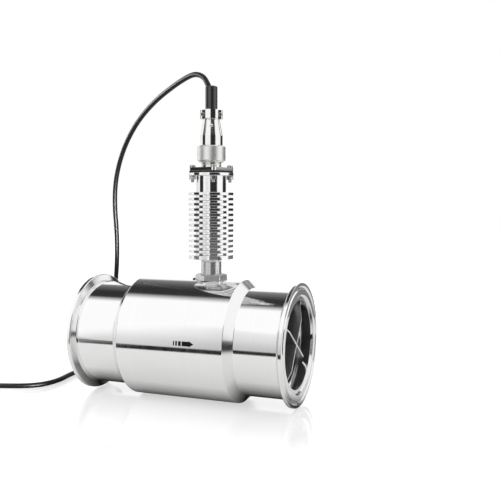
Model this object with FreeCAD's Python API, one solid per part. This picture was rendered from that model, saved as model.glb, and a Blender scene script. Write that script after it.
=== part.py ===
import FreeCAD, Part
import math
import os

# A turbine flow meter for hygienic pipework: a stainless pipe run with clamp ferrules,
# a free-spinning bladed rotor between two flow straighteners, and an inductive pickup in
# a finned housing above the rotor, wired through a screwed round connector.
# Millimetres, +Z up, flow along +X. Origin on the standing surface, under the middle of the run.

V = FreeCAD.Vector

# Pipe run
FACE_TO_FACE = 170.0
BORE_D = 65.0
FERRULE_D = 91.0
FERRULE_RIM = 2.85
FERRULE_BACK_DEG = 20.0
NECK_D = 80.0
BARREL_D = 92.0
BARREL_LEN = 84.0
FACE_GROOVE_D = 83.6
FACE_GROOVE_W = 2.4
FACE_GROOVE_DEPTH = 1.1
SEAT_D = 72.0
SEAT_DEPTH = 11.0
MOUTH_BREAK = 0.5

# Flow straighteners, one at each end
VANE_T = 1.3
VANE_RECESS = 2.7
RING_RECESS = 1.5
VANE_FRONT_HALF = 21.5
VANE_CHAMFER_DEPTH = 3.4
VANE_TURN_DEG = 55.0
INLET_VANE_LEN = 72.3
OUTLET_VANE_LEN = 48.3
EAR_LEN = 4.0
RING_SPLIT = 4.0
HUB_D = 18.0
HUB_SLOT_DEPTH = 2.5
INLET_HUB_LEN = 30.0
OUTLET_HUB_LEN = 20.0
NOSE_LEN = 10.0
NOSE_FLAT_D = 4.0

# Rotor and its bearings
STACK_X = 14.0
ROTOR_HUB_LEN = 22.0
BLADE_COUNT = 8
BLADE_LEN = 18.0
BLADE_T = 2.0
BLADE_TIP_DEG = 38.0
BLADE_TIP_GAP = 1.0
SHAFT_D = 4.0
BUSH_D = 7.0
BUSH_LEN = 8.0
PAD_T = 2.0

# Pickup well and finned housing
PICKUP_WALL = 2.0
SPOT_D = 28.0
SPOT_DEPTH = 1.0
STEM_D = 15.8
STEM_EXPOSED = 8.0
NUT_ACROSS_FLATS = 21.5
NUT_H = 4.7
NUT_TURN_DEG = -67.0
COLLAR_D = 16.7
COLLAR_H = 3.45
FIN_COUNT = 13
FIN_D = 34.0
FIN_BASE_T = 3.0
FIN_T = 2.1
FIN_PITCH = 3.91
FIN_CORE_D = 23.6
HOUSING_NECK_H = 12.43
HOUSING_FLANGE_T = 2.1
FLANGE_EDGE = 2.858
NUT_CLEAR = 0.39
CAVITY_D = 11.2
TIP_WALL = 1.0

# Pickup coil and amplifier
BOBBIN_LEN = 16.0
BOBBIN_FLANGE_T = 1.0
BOBBIN_CORE_D = 5.2
WINDING_INSET = 0.4
POLE_D = 3.0
POLE_STAND = 2.0
MAGNET_D = 8.0
MAGNET_LEN = 8.0
BOARD_W = 9.6
BOARD_T = 1.2
BOARD_LEN = 36.0
CHIP_H = 1.4
CHIP_LEN = 5.0
LEAD_D = 0.9
COIL_LEAD_D = 0.5

# Flanged socket
PLATE_EDGE = 2.45
PLATE_CORNER_R = 2.5
PLATE_T = 2.5
PLATE_TURN_DEG = -15.0
GASKET_T = 1.6
HOLE_SPACING = 20.0
SCREW_D = 2.5
SCREW_HEAD_D = 4.6
SCREW_HEAD_H = 1.9
SCREW_END = 2.2
SCREW_NUT_AF = 5.0
SCREW_NUT_H = 2.1
WASHER_D = 4.8
WASHER_T = 0.6
SOCKET_NECK_D = 16.0
SOCKET_NECK_H = 11.2
SOCKET_BORE_D = 13.0
SOCKET_BACK_D = 15.8
SOCKET_BACK = 9.0
SOCKET_LIP_T = 1.2
SOCKET_LIP_D = 11.0
INSERT_STAND = 1.0
PIN_COUNT = 3
PIN_CIRCLE_D = 6.4
PIN_D = 1.5
PIN_STAND = 8.0
PIN_TAIL = 3.0
CUP_DEPTH = 2.5

# Plug
PLUG_FLANGE_T = 1.7
PLUG_SLEEVE_WALL = 0.7
PLUG_SLEEVE_GAP = 0.6
PLUG_NECK_D = 13.6
PLUG_SPIGOT_D = 12.6
PLUG_SPIGOT_H = 5.0
RING_D = 21.4
RING_LIFT = 3.85
RING_TAPER_H = 1.5
RING_TAPER_D = 17.4
RING_LIP_T = 2.9
RING_PLAY = 0.5
CONTACT_D = 2.5
SHELL_D = 17.2
SHELL_CYL_H = 7.3
SHELL_CONE_H = 11.9
SHELL_TOP_D = 12.8
SHELL_WALL = 3.2
SET_SCREW_D = 2.5
SET_SCREW_LEN = 2.6
SET_SCREW_UP = 14.5
CLAMP_TURN_DEG = -66.0
CLAMP_W = 17.0
CLAMP_H = 6.6
CLAMP_LIFT = 0.6
CLAMP_SPLIT = 0.6
CLAMP_EAR_T = 2.4
CLAMP_HEAD_CLEAR = 0.25
CLAMP_SCREW_SPACING = 13.2
CLAMP_SCREW_D = 2.0
CLAMP_SCREW_HEAD_D = 2.8
CLAMP_SCREW_HEAD_H = 1.3
BOOT_D = 9.2
BOOT_STAND = 17.8

# Cable
CABLE_D = 4.0
CABLE_SLEEVED = 10.3
CABLE_FIRST_RUN = 5.5
CABLE_END_DEPTH = 6.0
ARC_SHARE = 0.45
CORE_D = 1.0
CORE_BARE = 18.0
CORE_STRAIGHT = 6.0
CORE_PITCH = 1.2
CORE_FAN = 1.6
COIL_MID_R = 21.0
COIL_ROW = 4
COIL_LAYERS = 2
COIL_X = -208.0
COIL_Y = -30.0
TIE_W = 3.0
TIE_T = 0.8
TIE_TURN_DEG = 60.0

# Clearances
RUN_GAP = 0.1
SHAFT_GAP = 0.03
SLIDE_GAP = 0.05
THREAD_GAP = 0.05
END_GAP = 0.15
HUB_GAP = 1.0

AXIS_H = BARREL_D / 2
HALF = FACE_TO_FACE / 2
BORE_R = BORE_D / 2

# Heights of the pickup stack above the flow axis
SPOT_H = BARREL_D / 2 - SPOT_DEPTH
TIP_H = BORE_R + PICKUP_WALL
NUT_TOP = SPOT_H + NUT_H
COLLAR_BOTTOM = NUT_TOP + STEM_EXPOSED
FINS_BOTTOM = COLLAR_BOTTOM + COLLAR_H
FINS_TOP = FINS_BOTTOM + FIN_BASE_T + (FIN_COUNT - 1) * FIN_PITCH
FLANGE_BOTTOM = FINS_TOP + HOUSING_NECK_H
FLANGE_TOP = FLANGE_BOTTOM + HOUSING_FLANGE_T
PLATE_BOTTOM = FLANGE_TOP + GASKET_T
PLATE_TOP = PLATE_BOTTOM + PLATE_T
SOCKET_END = FLANGE_TOP - SOCKET_BACK
SOCKET_TOP = PLATE_TOP + SOCKET_NECK_H
INSERT_BOTTOM = SOCKET_END + SOCKET_LIP_T
INSERT_TOP = PLATE_TOP + INSERT_STAND
PIN_TIP = INSERT_TOP + PIN_STAND
PIN_END = INSERT_BOTTOM - PIN_TAIL
CAVITY_BOTTOM = TIP_H + TIP_WALL
POLE_TOP = CAVITY_BOTTOM + BOBBIN_LEN + POLE_STAND
BOARD_BOTTOM = POLE_TOP + MAGNET_LEN
BOARD_TOP = BOARD_BOTTOM + BOARD_LEN
PLUG_FLANGE_TOP = SOCKET_TOP + PLUG_FLANGE_T
PLUG_INSERT_BOTTOM = INSERT_TOP + PLUG_SLEEVE_GAP
RING_BOTTOM = PLATE_TOP + RING_LIFT
RING_LIP_BOTTOM = PLUG_FLANGE_TOP + SLIDE_GAP
RING_TOP = RING_LIP_BOTTOM + RING_LIP_T
SHELL_BOTTOM = RING_TOP + RING_PLAY
SPIGOT_TOP = SHELL_BOTTOM + PLUG_SPIGOT_H
CONE_BOTTOM = SHELL_BOTTOM + SHELL_CYL_H
CONE_TOP = CONE_BOTTOM + SHELL_CONE_H
CLAMP_BOTTOM = CONE_TOP + CLAMP_LIFT
CLAMP_TOP = CLAMP_BOTTOM + CLAMP_H
BOOT_TOP = CLAMP_TOP + BOOT_STAND
CABLE_START = BOOT_TOP - CABLE_SLEEVED

# Socket flange: plate, housing flange and housing neck follow the square of screw holes
PLATE_SIDE = HOLE_SPACING + 2 * PLATE_EDGE
SCREW_REACH = HOLE_SPACING / math.sqrt(2)
HOUSING_FLANGE_D = 2 * (SCREW_REACH + FLANGE_EDGE)
HOUSING_NECK_D = 2 * (SCREW_REACH - SCREW_NUT_AF / 2 - NUT_CLEAR)
SOCKET_BORE_R = SOCKET_BORE_D / 2
SLEEVE_R = SOCKET_BORE_R - RUN_GAP
PLUG_INSERT_R = SLEEVE_R - PLUG_SLEEVE_WALL
CONTACT_TOP = SHELL_BOTTOM + CUP_DEPTH
CONTACT_CLOSED = PIN_TIP + INSERT_STAND
CUP_R = LEAD_D / 2 + SLIDE_GAP

# Stations along the flow axis
ROTOR_IN = STACK_X - ROTOR_HUB_LEN / 2
ROTOR_OUT = STACK_X + ROTOR_HUB_LEN / 2
HUB_R = HUB_D / 2
TIP_R = BORE_R - BLADE_TIP_GAP
PAD_FACE = HUB_GAP + BUSH_LEN + END_GAP
INLET_FACE = ROTOR_IN - HUB_GAP
OUTLET_FACE = ROTOR_OUT + HUB_GAP
FRONT = HALF - VANE_RECESS
INLET_TIP = FRONT + INLET_FACE - INLET_HUB_LEN - NOSE_LEN
OUTLET_TIP = FRONT - OUTLET_FACE - OUTLET_HUB_LEN - NOSE_LEN

# Stored coil, wound in rows and layers, and its free end as (along, drop) steps from the top outer turn
COIL_HALF_W = COIL_ROW * CABLE_D / 2
COIL_H = COIL_LAYERS * CABLE_D
COIL_OUTER_TURN = COIL_MID_R + COIL_HALF_W - CABLE_D / 2
TAIL_BEARING_DEG = 180.0
TAIL_LEAN = 0.25
TAIL_POINTS = [(0.0, 0.0), (14.0, 0.4), (26.0, 2.2), (38.0, 3.6), (50.0, 4.0)]

# Cable route: from inside the boot, over the top, down behind the inlet ferrule and along
# the standing surface to the stored coil. The first two points follow the boot.
FLOOR_Z = CABLE_D / 2 + SLIDE_GAP
CABLE_ROUTE = [
    (STACK_X, 0.0, AXIS_H + CABLE_START),
    (STACK_X, 0.0, AXIS_H + CABLE_START + CABLE_FIRST_RUN),
    (11.2, 0.0, 237.6),
    (7.4, 0.8, 244.8),
    (-0.8, 3.2, 248.6),
    (-11.0, 6.8, 245.8),
    (-27.0, 12.6, 238.6),
    (-46.5, 20.6, 229.4),
    (-66.0, 30.2, 216.6),
    (-82.4, 40.0, 201.2),
    (-94.4, 48.0, 184.6),
    (-101.9, 53.2, 166.6),
    (-105.0, 57.0, 146.0),
    (-104.8, 60.0, 123.0),
    (-105.8, 62.0, 100.0),
    (-108.3, 63.4, 78.0),
    (-111.0, 64.3, 57.0),
    (-113.4, 64.2, 38.0),
    (-115.0, 63.3, 26.0),
    (-116.4, 61.6, 16.2),
    (-117.6, 58.3, 9.6),
    (-119.2, 53.1, 4.7),
    (-121.3, 46.6, FLOOR_Z),
    (-123.8, 38.0, FLOOR_Z),
    (-125.4, 26.0, FLOOR_Z),
    (-124.4, 12.0, FLOOR_Z),
    (-122.0, -2.0, FLOOR_Z),
    (-122.9, -14.6, FLOOR_Z),
    (-127.4, -24.4, FLOOR_Z),
    (-137.0, -31.2, FLOOR_Z),
    (-150.5, -36.2, FLOOR_Z),
    (-167.5, -41.6, FLOOR_Z),
    (-183.5, -47.2, FLOOR_Z),
]


def revolved_on_flow(profile):
    """A solid turned about the flow axis from (x, radius) points."""
    corners = [V(x, 0, AXIS_H + r) for x, r in profile]
    face = Part.Face(Part.makePolygon(corners + corners[:1]))
    return face.revolve(V(0, 0, AXIS_H), V(1, 0, 0), 360)


def turned_on_stack(profile):
    """A solid turned about the pickup axis from (radius, height above the flow axis) points."""
    corners = [V(STACK_X + r, 0, AXIS_H + h) for r, h in profile]
    face = Part.Face(Part.makePolygon(corners + corners[:1]))
    return face.revolve(V(STACK_X, 0, 0), V(0, 0, 1), 360)


def tube_on_flow(x0, x1, outer, inner):
    """A plain ring about the flow axis."""
    return revolved_on_flow([(x0, inner), (x1, inner), (x1, outer), (x0, outer)])


def upright(dx, dy, bottom, top, diameter):
    """An upright round rod, placed from the pickup axis."""
    return Part.makeCylinder(diameter / 2, top - bottom, V(STACK_X + dx, dy, AXIS_H + bottom))


def turned(shape, degrees):
    """The shape turned about the pickup axis."""
    copy = shape.copy()
    copy.rotate(V(STACK_X, 0, 0), V(0, 0, 1), degrees)
    return copy


def hexagon(dx, dy, bottom, height, across_flats, degrees):
    """A hexagonal block with one flat facing the given direction."""
    corner = across_flats / 2 / math.cos(math.pi / 6)
    points = []
    for i in range(6):
        a = math.radians(degrees + 30 + 60 * i)
        points.append(V(STACK_X + dx + corner * math.cos(a), dy + corner * math.sin(a), AXIS_H + bottom))
    return Part.Face(Part.makePolygon(points + points[:1])).extrude(V(0, 0, height))


def joined(shapes):
    """One solid from shapes that share volume or faces."""
    return shapes[0].multiFuse(shapes[1:]).removeSplitter()


def rod_along(points, diameter):
    """A round wire through the points, with ball corners."""
    pieces = []
    for a, b in zip(points, points[1:]):
        pieces.append(Part.makeCylinder(diameter / 2, (b - a).Length, a, b - a))
    for corner in points[1:-1]:
        pieces.append(Part.makeSphere(diameter / 2, corner))
    return joined(pieces)


def meter_body():
    """The pipe run, turned from one bar: thick barrel, two necks, two clamp ferrules, pickup well."""
    step = (BARREL_D - NECK_D) / 2
    back = (FERRULE_D - NECK_D) / 2 * math.tan(math.radians(FERRULE_BACK_DEG))
    half = [
        (BARREL_LEN / 2, BARREL_D / 2),
        (BARREL_LEN / 2 + step, NECK_D / 2),
        (HALF - FERRULE_RIM - back, NECK_D / 2),
        (HALF - FERRULE_RIM, FERRULE_D / 2),
        (HALF, FERRULE_D / 2),
    ]
    outline = [(-x, r) for x, r in reversed(half)] + half
    body = revolved_on_flow([(-HALF, 0)] + outline + [(HALF, 0)])
    bore = [
        (-HALF, 0),
        (-HALF, SEAT_D / 2 + MOUTH_BREAK),
        (-HALF + MOUTH_BREAK, SEAT_D / 2),
        (-HALF + SEAT_DEPTH, SEAT_D / 2),
        (-HALF + SEAT_DEPTH, BORE_R),
    ]
    body = body.cut(revolved_on_flow(bore + [(-x, r) for x, r in reversed(bore)]))
    for end in (-1, 1):
        groove = [
            (end * HALF, FACE_GROOVE_D / 2 - FACE_GROOVE_W / 2),
            (end * (HALF - FACE_GROOVE_DEPTH), FACE_GROOVE_D / 2 - FACE_GROOVE_W / 4),
            (end * (HALF - FACE_GROOVE_DEPTH), FACE_GROOVE_D / 2 + FACE_GROOVE_W / 4),
            (end * HALF, FACE_GROOVE_D / 2 + FACE_GROOVE_W / 2),
        ]
        body = body.cut(revolved_on_flow(groove))
    spot = upright(0, 0, SPOT_H, BARREL_D / 2 + SPOT_DEPTH, SPOT_D)
    well = upright(0, 0, TIP_H, BARREL_D / 2, STEM_D + 2 * THREAD_GAP)
    return body.cut(spot).cut(well)


def vane(end, length, tip, degrees, lapped_at_front):
    """One straightener plate: ears in the seat, a notch for the hub, half a cross-lap slot."""
    bore_edge = BORE_R - SLIDE_GAP
    ear_edge = SEAT_D / 2 - RUN_GAP
    ear_in = SEAT_DEPTH - VANE_RECESS
    ear_out = ear_in - EAR_LEN
    notch = HUB_R - HUB_SLOT_DEPTH
    side = [
        (0, VANE_FRONT_HALF),
        (VANE_CHAMFER_DEPTH, bore_edge),
        (ear_out, bore_edge),
        (ear_out, ear_edge),
        (ear_in, ear_edge),
        (ear_in, bore_edge),
        (length, bore_edge),
        (length, notch),
        (tip, notch),
    ]
    outline = side + [(d, -r) for d, r in reversed(side)]
    corners = [V(end * (FRONT - d), -VANE_T / 2, AXIS_H + r) for d, r in outline]
    plate = Part.Face(Part.makePolygon(corners + corners[:1])).extrude(V(0, VANE_T, 0))
    lap_from, lap_to = (-VANE_RECESS, tip / 2) if lapped_at_front else (tip / 2, tip + VANE_RECESS)
    slot_w = VANE_T + 2 * SLIDE_GAP
    slot_x = min(end * (FRONT - lap_from), end * (FRONT - lap_to))
    slot = Part.makeBox(lap_to - lap_from, 2 * VANE_T, slot_w, V(slot_x, -VANE_T, AXIS_H - slot_w / 2))
    plate = plate.cut(slot)
    plate.rotate(V(0, 0, AXIS_H), V(1, 0, 0), degrees - 90)
    return plate


def hub(end, face, length, vane_end):
    """A bearing carrier: bored for its bush, rounded nose away from the rotor, slotted for the vanes."""
    nose_start = face + end * length
    nose_end = nose_start + end * NOSE_LEN
    seat_end = face + end * (PAD_FACE - HUB_GAP + PAD_T)
    profile = [(face, BUSH_D / 2), (face, HUB_R), (nose_start, HUB_R)]
    steps = 6
    for i in range(1, steps):
        a = math.pi / 2 * i / steps
        r = NOSE_FLAT_D / 2 + (HUB_R - NOSE_FLAT_D / 2) * math.cos(a)
        profile.append((nose_start + end * NOSE_LEN * math.sin(a), r))
    profile += [(nose_end, NOSE_FLAT_D / 2), (nose_end, 0), (seat_end, 0), (seat_end, BUSH_D / 2)]
    carrier = revolved_on_flow(profile)
    slot_len = abs(nose_end - vane_end)
    slot_w = VANE_T + 2 * SLIDE_GAP
    slot_floor = HUB_R - HUB_SLOT_DEPTH
    for i in range(4):
        corner = V(min(nose_end, vane_end), -slot_w / 2, AXIS_H + slot_floor)
        slot = Part.makeBox(slot_len, slot_w, HUB_R, corner)
        slot.rotate(V(0, 0, AXIS_H), V(1, 0, 0), VANE_TURN_DEG - 90 + 90 * i)
        carrier = carrier.cut(slot)
    return carrier


def retaining_ring(end):
    """A split spring ring that holds the vane ears against the seat."""
    back = HALF - SEAT_DEPTH + EAR_LEN
    front = HALF - RING_RECESS
    ring = tube_on_flow(end * back, end * front, SEAT_D / 2, BORE_R)
    gap = Part.makeBox(front, SEAT_D, RING_SPLIT, V(min(0, end * front), 0, AXIS_H - RING_SPLIT / 2))
    return ring.cut(gap)


def blade(index):
    """One helical blade of constant lead, oversize at root and tip for joining and trimming."""
    lead = 2 * math.pi * TIP_R / math.tan(math.radians(BLADE_TIP_DEG))
    sections = []
    stations = 5
    for i in range(stations):
        along = BLADE_LEN * (i / (stations - 1) - 0.5)
        a = 2 * math.pi * (along / lead + index / BLADE_COUNT)
        out = V(0, math.cos(a), math.sin(a))
        across = V(0, -math.sin(a), math.cos(a)) * (BLADE_T / 2)
        middle = V(STACK_X + along, 0, AXIS_H)
        root = middle + out * (HUB_R - BLADE_T)
        tip = middle + out * (TIP_R + BLADE_T)
        corners = [root - across, root + across, tip + across, tip - across]
        sections.append(Part.makePolygon(corners + corners[:1]))
    return Part.makeLoft(sections, True, False)


def rotor():
    """The bladed rotor: a bored hub with helical blades trimmed to a round tip circle."""
    core = tube_on_flow(ROTOR_IN, ROTOR_OUT, HUB_R, SHAFT_D / 2)
    envelope = tube_on_flow(ROTOR_IN, ROTOR_OUT, TIP_R, HUB_R - BLADE_T / 2)
    blades = [blade(i).common(envelope) for i in range(BLADE_COUNT)]
    return core.multiFuse(blades)


def rotor_shaft():
    """The spindle, pressed through the rotor, running in a bush at each end."""
    x0 = ROTOR_IN - HUB_GAP - BUSH_LEN
    x1 = ROTOR_OUT + HUB_GAP + BUSH_LEN
    return Part.makeCylinder(SHAFT_D / 2, x1 - x0, V(x0, 0, AXIS_H), V(1, 0, 0))


def finned_housing():
    """Pickup housing turned in one piece: threaded stem, cooling fins, neck and round top flange."""
    outline = [
        (0, TIP_H),
        (STEM_D / 2, TIP_H),
        (STEM_D / 2, COLLAR_BOTTOM),
        (COLLAR_D / 2, COLLAR_BOTTOM),
        (COLLAR_D / 2, FINS_BOTTOM),
    ]
    base_top = FINS_BOTTOM + FIN_BASE_T
    outline += [(FIN_D / 2, FINS_BOTTOM), (FIN_D / 2, base_top)]
    for i in range(1, FIN_COUNT):
        top = base_top + i * FIN_PITCH
        outline += [(FIN_CORE_D / 2, top - FIN_PITCH), (FIN_CORE_D / 2, top - FIN_T), (FIN_D / 2, top - FIN_T), (FIN_D / 2, top)]
    well_r = SOCKET_BACK_D / 2 + RUN_GAP
    well_bottom = PIN_END - CUP_DEPTH
    outline += [
        (HOUSING_NECK_D / 2, FINS_TOP),
        (HOUSING_NECK_D / 2, FLANGE_BOTTOM),
        (HOUSING_FLANGE_D / 2, FLANGE_BOTTOM),
        (HOUSING_FLANGE_D / 2, FLANGE_TOP),
        (well_r, FLANGE_TOP),
        (well_r, well_bottom),
        (CAVITY_D / 2, well_bottom),
        (CAVITY_D / 2, CAVITY_BOTTOM),
        (0, CAVITY_BOTTOM),
    ]
    return drilled(turned_on_stack(outline), FLANGE_BOTTOM, FLANGE_TOP)


def screw_places():
    """The four corner holes of the socket flange, from the pickup axis."""
    turn = math.radians(PLATE_TURN_DEG)
    corners = [turn + math.pi / 4 + math.pi / 2 * i for i in range(4)]
    return [(SCREW_REACH * math.cos(a), SCREW_REACH * math.sin(a)) for a in corners]


def drilled(shape, bottom, top):
    """The shape with the four flange screw holes through it."""
    for dx, dy in screw_places():
        shape = shape.cut(upright(dx, dy, bottom, top, SCREW_D + 2 * RUN_GAP))
    return shape


def square_plate(bottom, thickness):
    """A square plate with rounded corners and four screw holes, turned as the socket stands."""
    half = PLATE_SIDE / 2
    plate = Part.makeBox(PLATE_SIDE, PLATE_SIDE, thickness, V(STACK_X - half, -half, AXIS_H + bottom))
    upright_edges = [e for e in plate.Edges if abs(e.Vertexes[0].Z - e.Vertexes[1].Z) > thickness / 2]
    plate = plate.makeFillet(PLATE_CORNER_R, upright_edges)
    return drilled(turned(plate, PLATE_TURN_DEG), bottom, bottom + thickness)


def lock_nut():
    nut = hexagon(0, 0, SPOT_H, NUT_H, NUT_ACROSS_FLATS, NUT_TURN_DEG)
    corner = NUT_ACROSS_FLATS / 2 / math.cos(math.pi / 6)
    chamfer = (corner - NUT_ACROSS_FLATS / 2) / 2
    crown = turned_on_stack([
        (0, SPOT_H),
        (corner, SPOT_H),
        (corner, NUT_TOP - chamfer),
        (corner - 2 * chamfer, NUT_TOP),
        (0, NUT_TOP),
    ])
    return nut.common(crown).cut(upright(0, 0, SPOT_H, NUT_TOP, STEM_D + 2 * THREAD_GAP))


def coil_bobbin():
    top = CAVITY_BOTTOM + BOBBIN_LEN
    flange_r = CAVITY_D / 2 - RUN_GAP
    return turned_on_stack([
        (POLE_D / 2, CAVITY_BOTTOM),
        (flange_r, CAVITY_BOTTOM),
        (flange_r, CAVITY_BOTTOM + BOBBIN_FLANGE_T),
        (BOBBIN_CORE_D / 2, CAVITY_BOTTOM + BOBBIN_FLANGE_T),
        (BOBBIN_CORE_D / 2, top - BOBBIN_FLANGE_T),
        (flange_r, top - BOBBIN_FLANGE_T),
        (flange_r, top),
        (POLE_D / 2, top),
    ])


def pickup_coil():
    bottom = CAVITY_BOTTOM + BOBBIN_FLANGE_T
    top = CAVITY_BOTTOM + BOBBIN_LEN - BOBBIN_FLANGE_T
    outer = CAVITY_D / 2 - WINDING_INSET
    inner = BOBBIN_CORE_D / 2
    return turned_on_stack([(inner, bottom), (outer, bottom), (outer, top), (inner, top)])


def amplifier_board():
    """The preamplifier: a narrow circuit board with a chip on each face, standing on the magnet."""
    y0 = -BOARD_T / 2
    base = AXIS_H + BOARD_BOTTOM
    pieces = [Part.makeBox(BOARD_W, BOARD_T, BOARD_LEN, V(STACK_X - BOARD_W / 2, y0, base))]
    for side, up in ((-1, BOARD_LEN / 3), (1, BOARD_LEN * 2 / 3)):
        face = y0 - CHIP_H if side < 0 else y0 + BOARD_T
        pieces.append(Part.makeBox(BOARD_W / 2, CHIP_H, CHIP_LEN, V(STACK_X - BOARD_W / 4, face, base + up)))
    return joined(pieces)


def coil_leads():
    """The two ends of the winding, from the bobbin up past the magnet to the board."""
    reach = (MAGNET_D + COIL_LEAD_D) / 2 + RUN_GAP
    bottom = CAVITY_BOTTOM + BOBBIN_LEN
    leads = [upright(side * reach, 0, bottom, BOARD_BOTTOM, COIL_LEAD_D) for side in (-1, 1)]
    return Part.makeCompound(leads)


def contact_places():
    places = []
    for i in range(PIN_COUNT):
        a = math.radians(PLATE_TURN_DEG) + 2 * math.pi * i / PIN_COUNT
        places.append((PIN_CIRCLE_D / 2 * math.cos(a), PIN_CIRCLE_D / 2 * math.sin(a)))
    return places


def stack_point(dx, dy, h):
    return V(STACK_X + dx, dy, AXIS_H + h)


def pickup_leads():
    """The wires from the top edge of the board to the solder cups of the socket pins."""
    pitch = BOARD_W / PIN_COUNT
    order = sorted(contact_places())
    leads = []
    for i, (dx, dy) in enumerate(order):
        start = (i - (PIN_COUNT - 1) / 2) * pitch
        points = [
            stack_point(start, 0, BOARD_TOP),
            stack_point(start, 0, BOARD_TOP + CUP_DEPTH),
            stack_point(dx, dy, PIN_END - CUP_DEPTH),
            stack_point(dx, dy, PIN_END + CUP_DEPTH),
        ]
        leads.append(rod_along(points, LEAD_D))
    return Part.makeCompound(leads)


def socket_shell():
    """The panel socket: square flange, threaded neck above, plain barrel let into the housing."""
    barrel = turned_on_stack([
        (SOCKET_LIP_D / 2, SOCKET_END),
        (SOCKET_BACK_D / 2, SOCKET_END),
        (SOCKET_BACK_D / 2, PLATE_TOP),
        (SOCKET_NECK_D / 2, PLATE_TOP),
        (SOCKET_NECK_D / 2, SOCKET_TOP),
        (SOCKET_BORE_R, SOCKET_TOP),
        (SOCKET_BORE_R, INSERT_BOTTOM),
        (SOCKET_LIP_D / 2, INSERT_BOTTOM),
    ])
    hole = upright(0, 0, PLATE_BOTTOM, PLATE_TOP, SOCKET_BACK_D)
    return joined([square_plate(PLATE_BOTTOM, PLATE_T).cut(hole), barrel])


def socket_gasket():
    hole = upright(0, 0, FLANGE_TOP, PLATE_BOTTOM, SOCKET_BACK_D + 2 * RUN_GAP)
    return square_plate(FLANGE_TOP, GASKET_T).cut(hole)


def insulator(bottom, top, diameter, hole_d):
    """An insulating insert with a hole for each contact."""
    disc = upright(0, 0, bottom, top, diameter)
    for dx, dy in contact_places():
        disc = disc.cut(upright(dx, dy, bottom, top, hole_d))
    return disc


def contact_pins():
    """Round pins with a rounded tip above and a solder cup below."""
    pins = []
    for dx, dy in contact_places():
        pin = upright(dx, dy, PIN_END, PIN_TIP - PIN_D / 2, PIN_D)
        tip = Part.makeSphere(PIN_D / 2, stack_point(dx, dy, PIN_TIP - PIN_D / 2))
        cup = upright(dx, dy, PIN_END, PIN_END + CUP_DEPTH, 2 * CUP_R)
        pins.append(joined([pin, tip]).cut(cup))
    return Part.makeCompound(pins)


def flange_screws():
    """Four pan-head screws through socket flange, gasket and housing flange."""
    end = FLANGE_BOTTOM - WASHER_T - SCREW_NUT_H - SCREW_END
    screws = []
    for dx, dy in screw_places():
        shank = upright(dx, dy, end, PLATE_TOP, SCREW_D)
        head = upright(dx, dy, PLATE_TOP, PLATE_TOP + SCREW_HEAD_H, SCREW_HEAD_D)
        rim = [e for e in head.Edges if e.Closed and e.BoundBox.ZMin > AXIS_H + PLATE_TOP + SCREW_HEAD_H / 2]
        screws.append(joined([head.makeFillet(SCREW_HEAD_H / 3, rim), shank]))
    return Part.makeCompound(screws)


def flange_washers():
    bottom = FLANGE_BOTTOM - WASHER_T
    washers = []
    for dx, dy in screw_places():
        disc = upright(dx, dy, bottom, FLANGE_BOTTOM, WASHER_D)
        washers.append(disc.cut(upright(dx, dy, bottom, FLANGE_BOTTOM, SCREW_D + 2 * RUN_GAP)))
    return Part.makeCompound(washers)


def flange_nuts():
    bottom = FLANGE_BOTTOM - WASHER_T - SCREW_NUT_H
    nuts = []
    for dx, dy in screw_places():
        outward = math.degrees(math.atan2(dy, dx))
        block = hexagon(dx, dy, bottom, SCREW_NUT_H, SCREW_NUT_AF, outward)
        nuts.append(block.cut(upright(dx, dy, bottom, bottom + SCREW_NUT_H, SCREW_D + 2 * THREAD_GAP)))
    return Part.makeCompound(nuts)


def plug_barrel():
    """The front of the plug: sleeve into the socket, flange on its rim, neck for the ring, rear spigot."""
    flange_r = SOCKET_NECK_D / 2 - RUN_GAP
    return turned_on_stack([
        (PLUG_INSERT_R, PLUG_INSERT_BOTTOM),
        (SLEEVE_R, PLUG_INSERT_BOTTOM),
        (SLEEVE_R, SOCKET_TOP),
        (flange_r, SOCKET_TOP),
        (flange_r, PLUG_FLANGE_TOP),
        (PLUG_NECK_D / 2, PLUG_FLANGE_TOP),
        (PLUG_NECK_D / 2, SHELL_BOTTOM),
        (PLUG_SPIGOT_D / 2, SHELL_BOTTOM),
        (PLUG_SPIGOT_D / 2, SPIGOT_TOP),
        (PLUG_INSERT_R, SPIGOT_TOP),
    ])


def coupling_ring():
    """The screwed coupling ring: threaded bore over the socket neck, inner lip behind the plug flange."""
    bore_r = SOCKET_NECK_D / 2 + RUN_GAP
    lip_r = PLUG_NECK_D / 2 + RUN_GAP
    bevel = RING_LIP_T / 6
    return turned_on_stack([
        (bore_r, RING_BOTTOM),
        (RING_TAPER_D / 2, RING_BOTTOM),
        (RING_D / 2, RING_BOTTOM + RING_TAPER_H),
        (RING_D / 2, RING_TOP - bevel),
        (RING_D / 2 - bevel, RING_TOP),
        (lip_r, RING_TOP),
        (lip_r, RING_LIP_BOTTOM),
        (bore_r, RING_LIP_BOTTOM),
    ])


def contact_sockets():
    """Female contacts: bored from below for the pins, with a solder cup on top."""
    contacts = []
    for dx, dy in contact_places():
        contact = upright(dx, dy, PLUG_INSERT_BOTTOM, CONTACT_TOP, CONTACT_D)
        bore = upright(dx, dy, PLUG_INSERT_BOTTOM, CONTACT_CLOSED, PIN_D + 2 * RUN_GAP)
        cup = upright(dx, dy, CONTACT_TOP - CUP_DEPTH, CONTACT_TOP, 2 * CUP_R)
        contacts.append(contact.cut(bore).cut(cup))
    return Part.makeCompound(contacts)


def turned_to_clamp_side(shape):
    """A shape drawn facing +X, turned about the pickup axis to the side the clamp faces."""
    return turned(shape, CLAMP_TURN_DEG)


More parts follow.
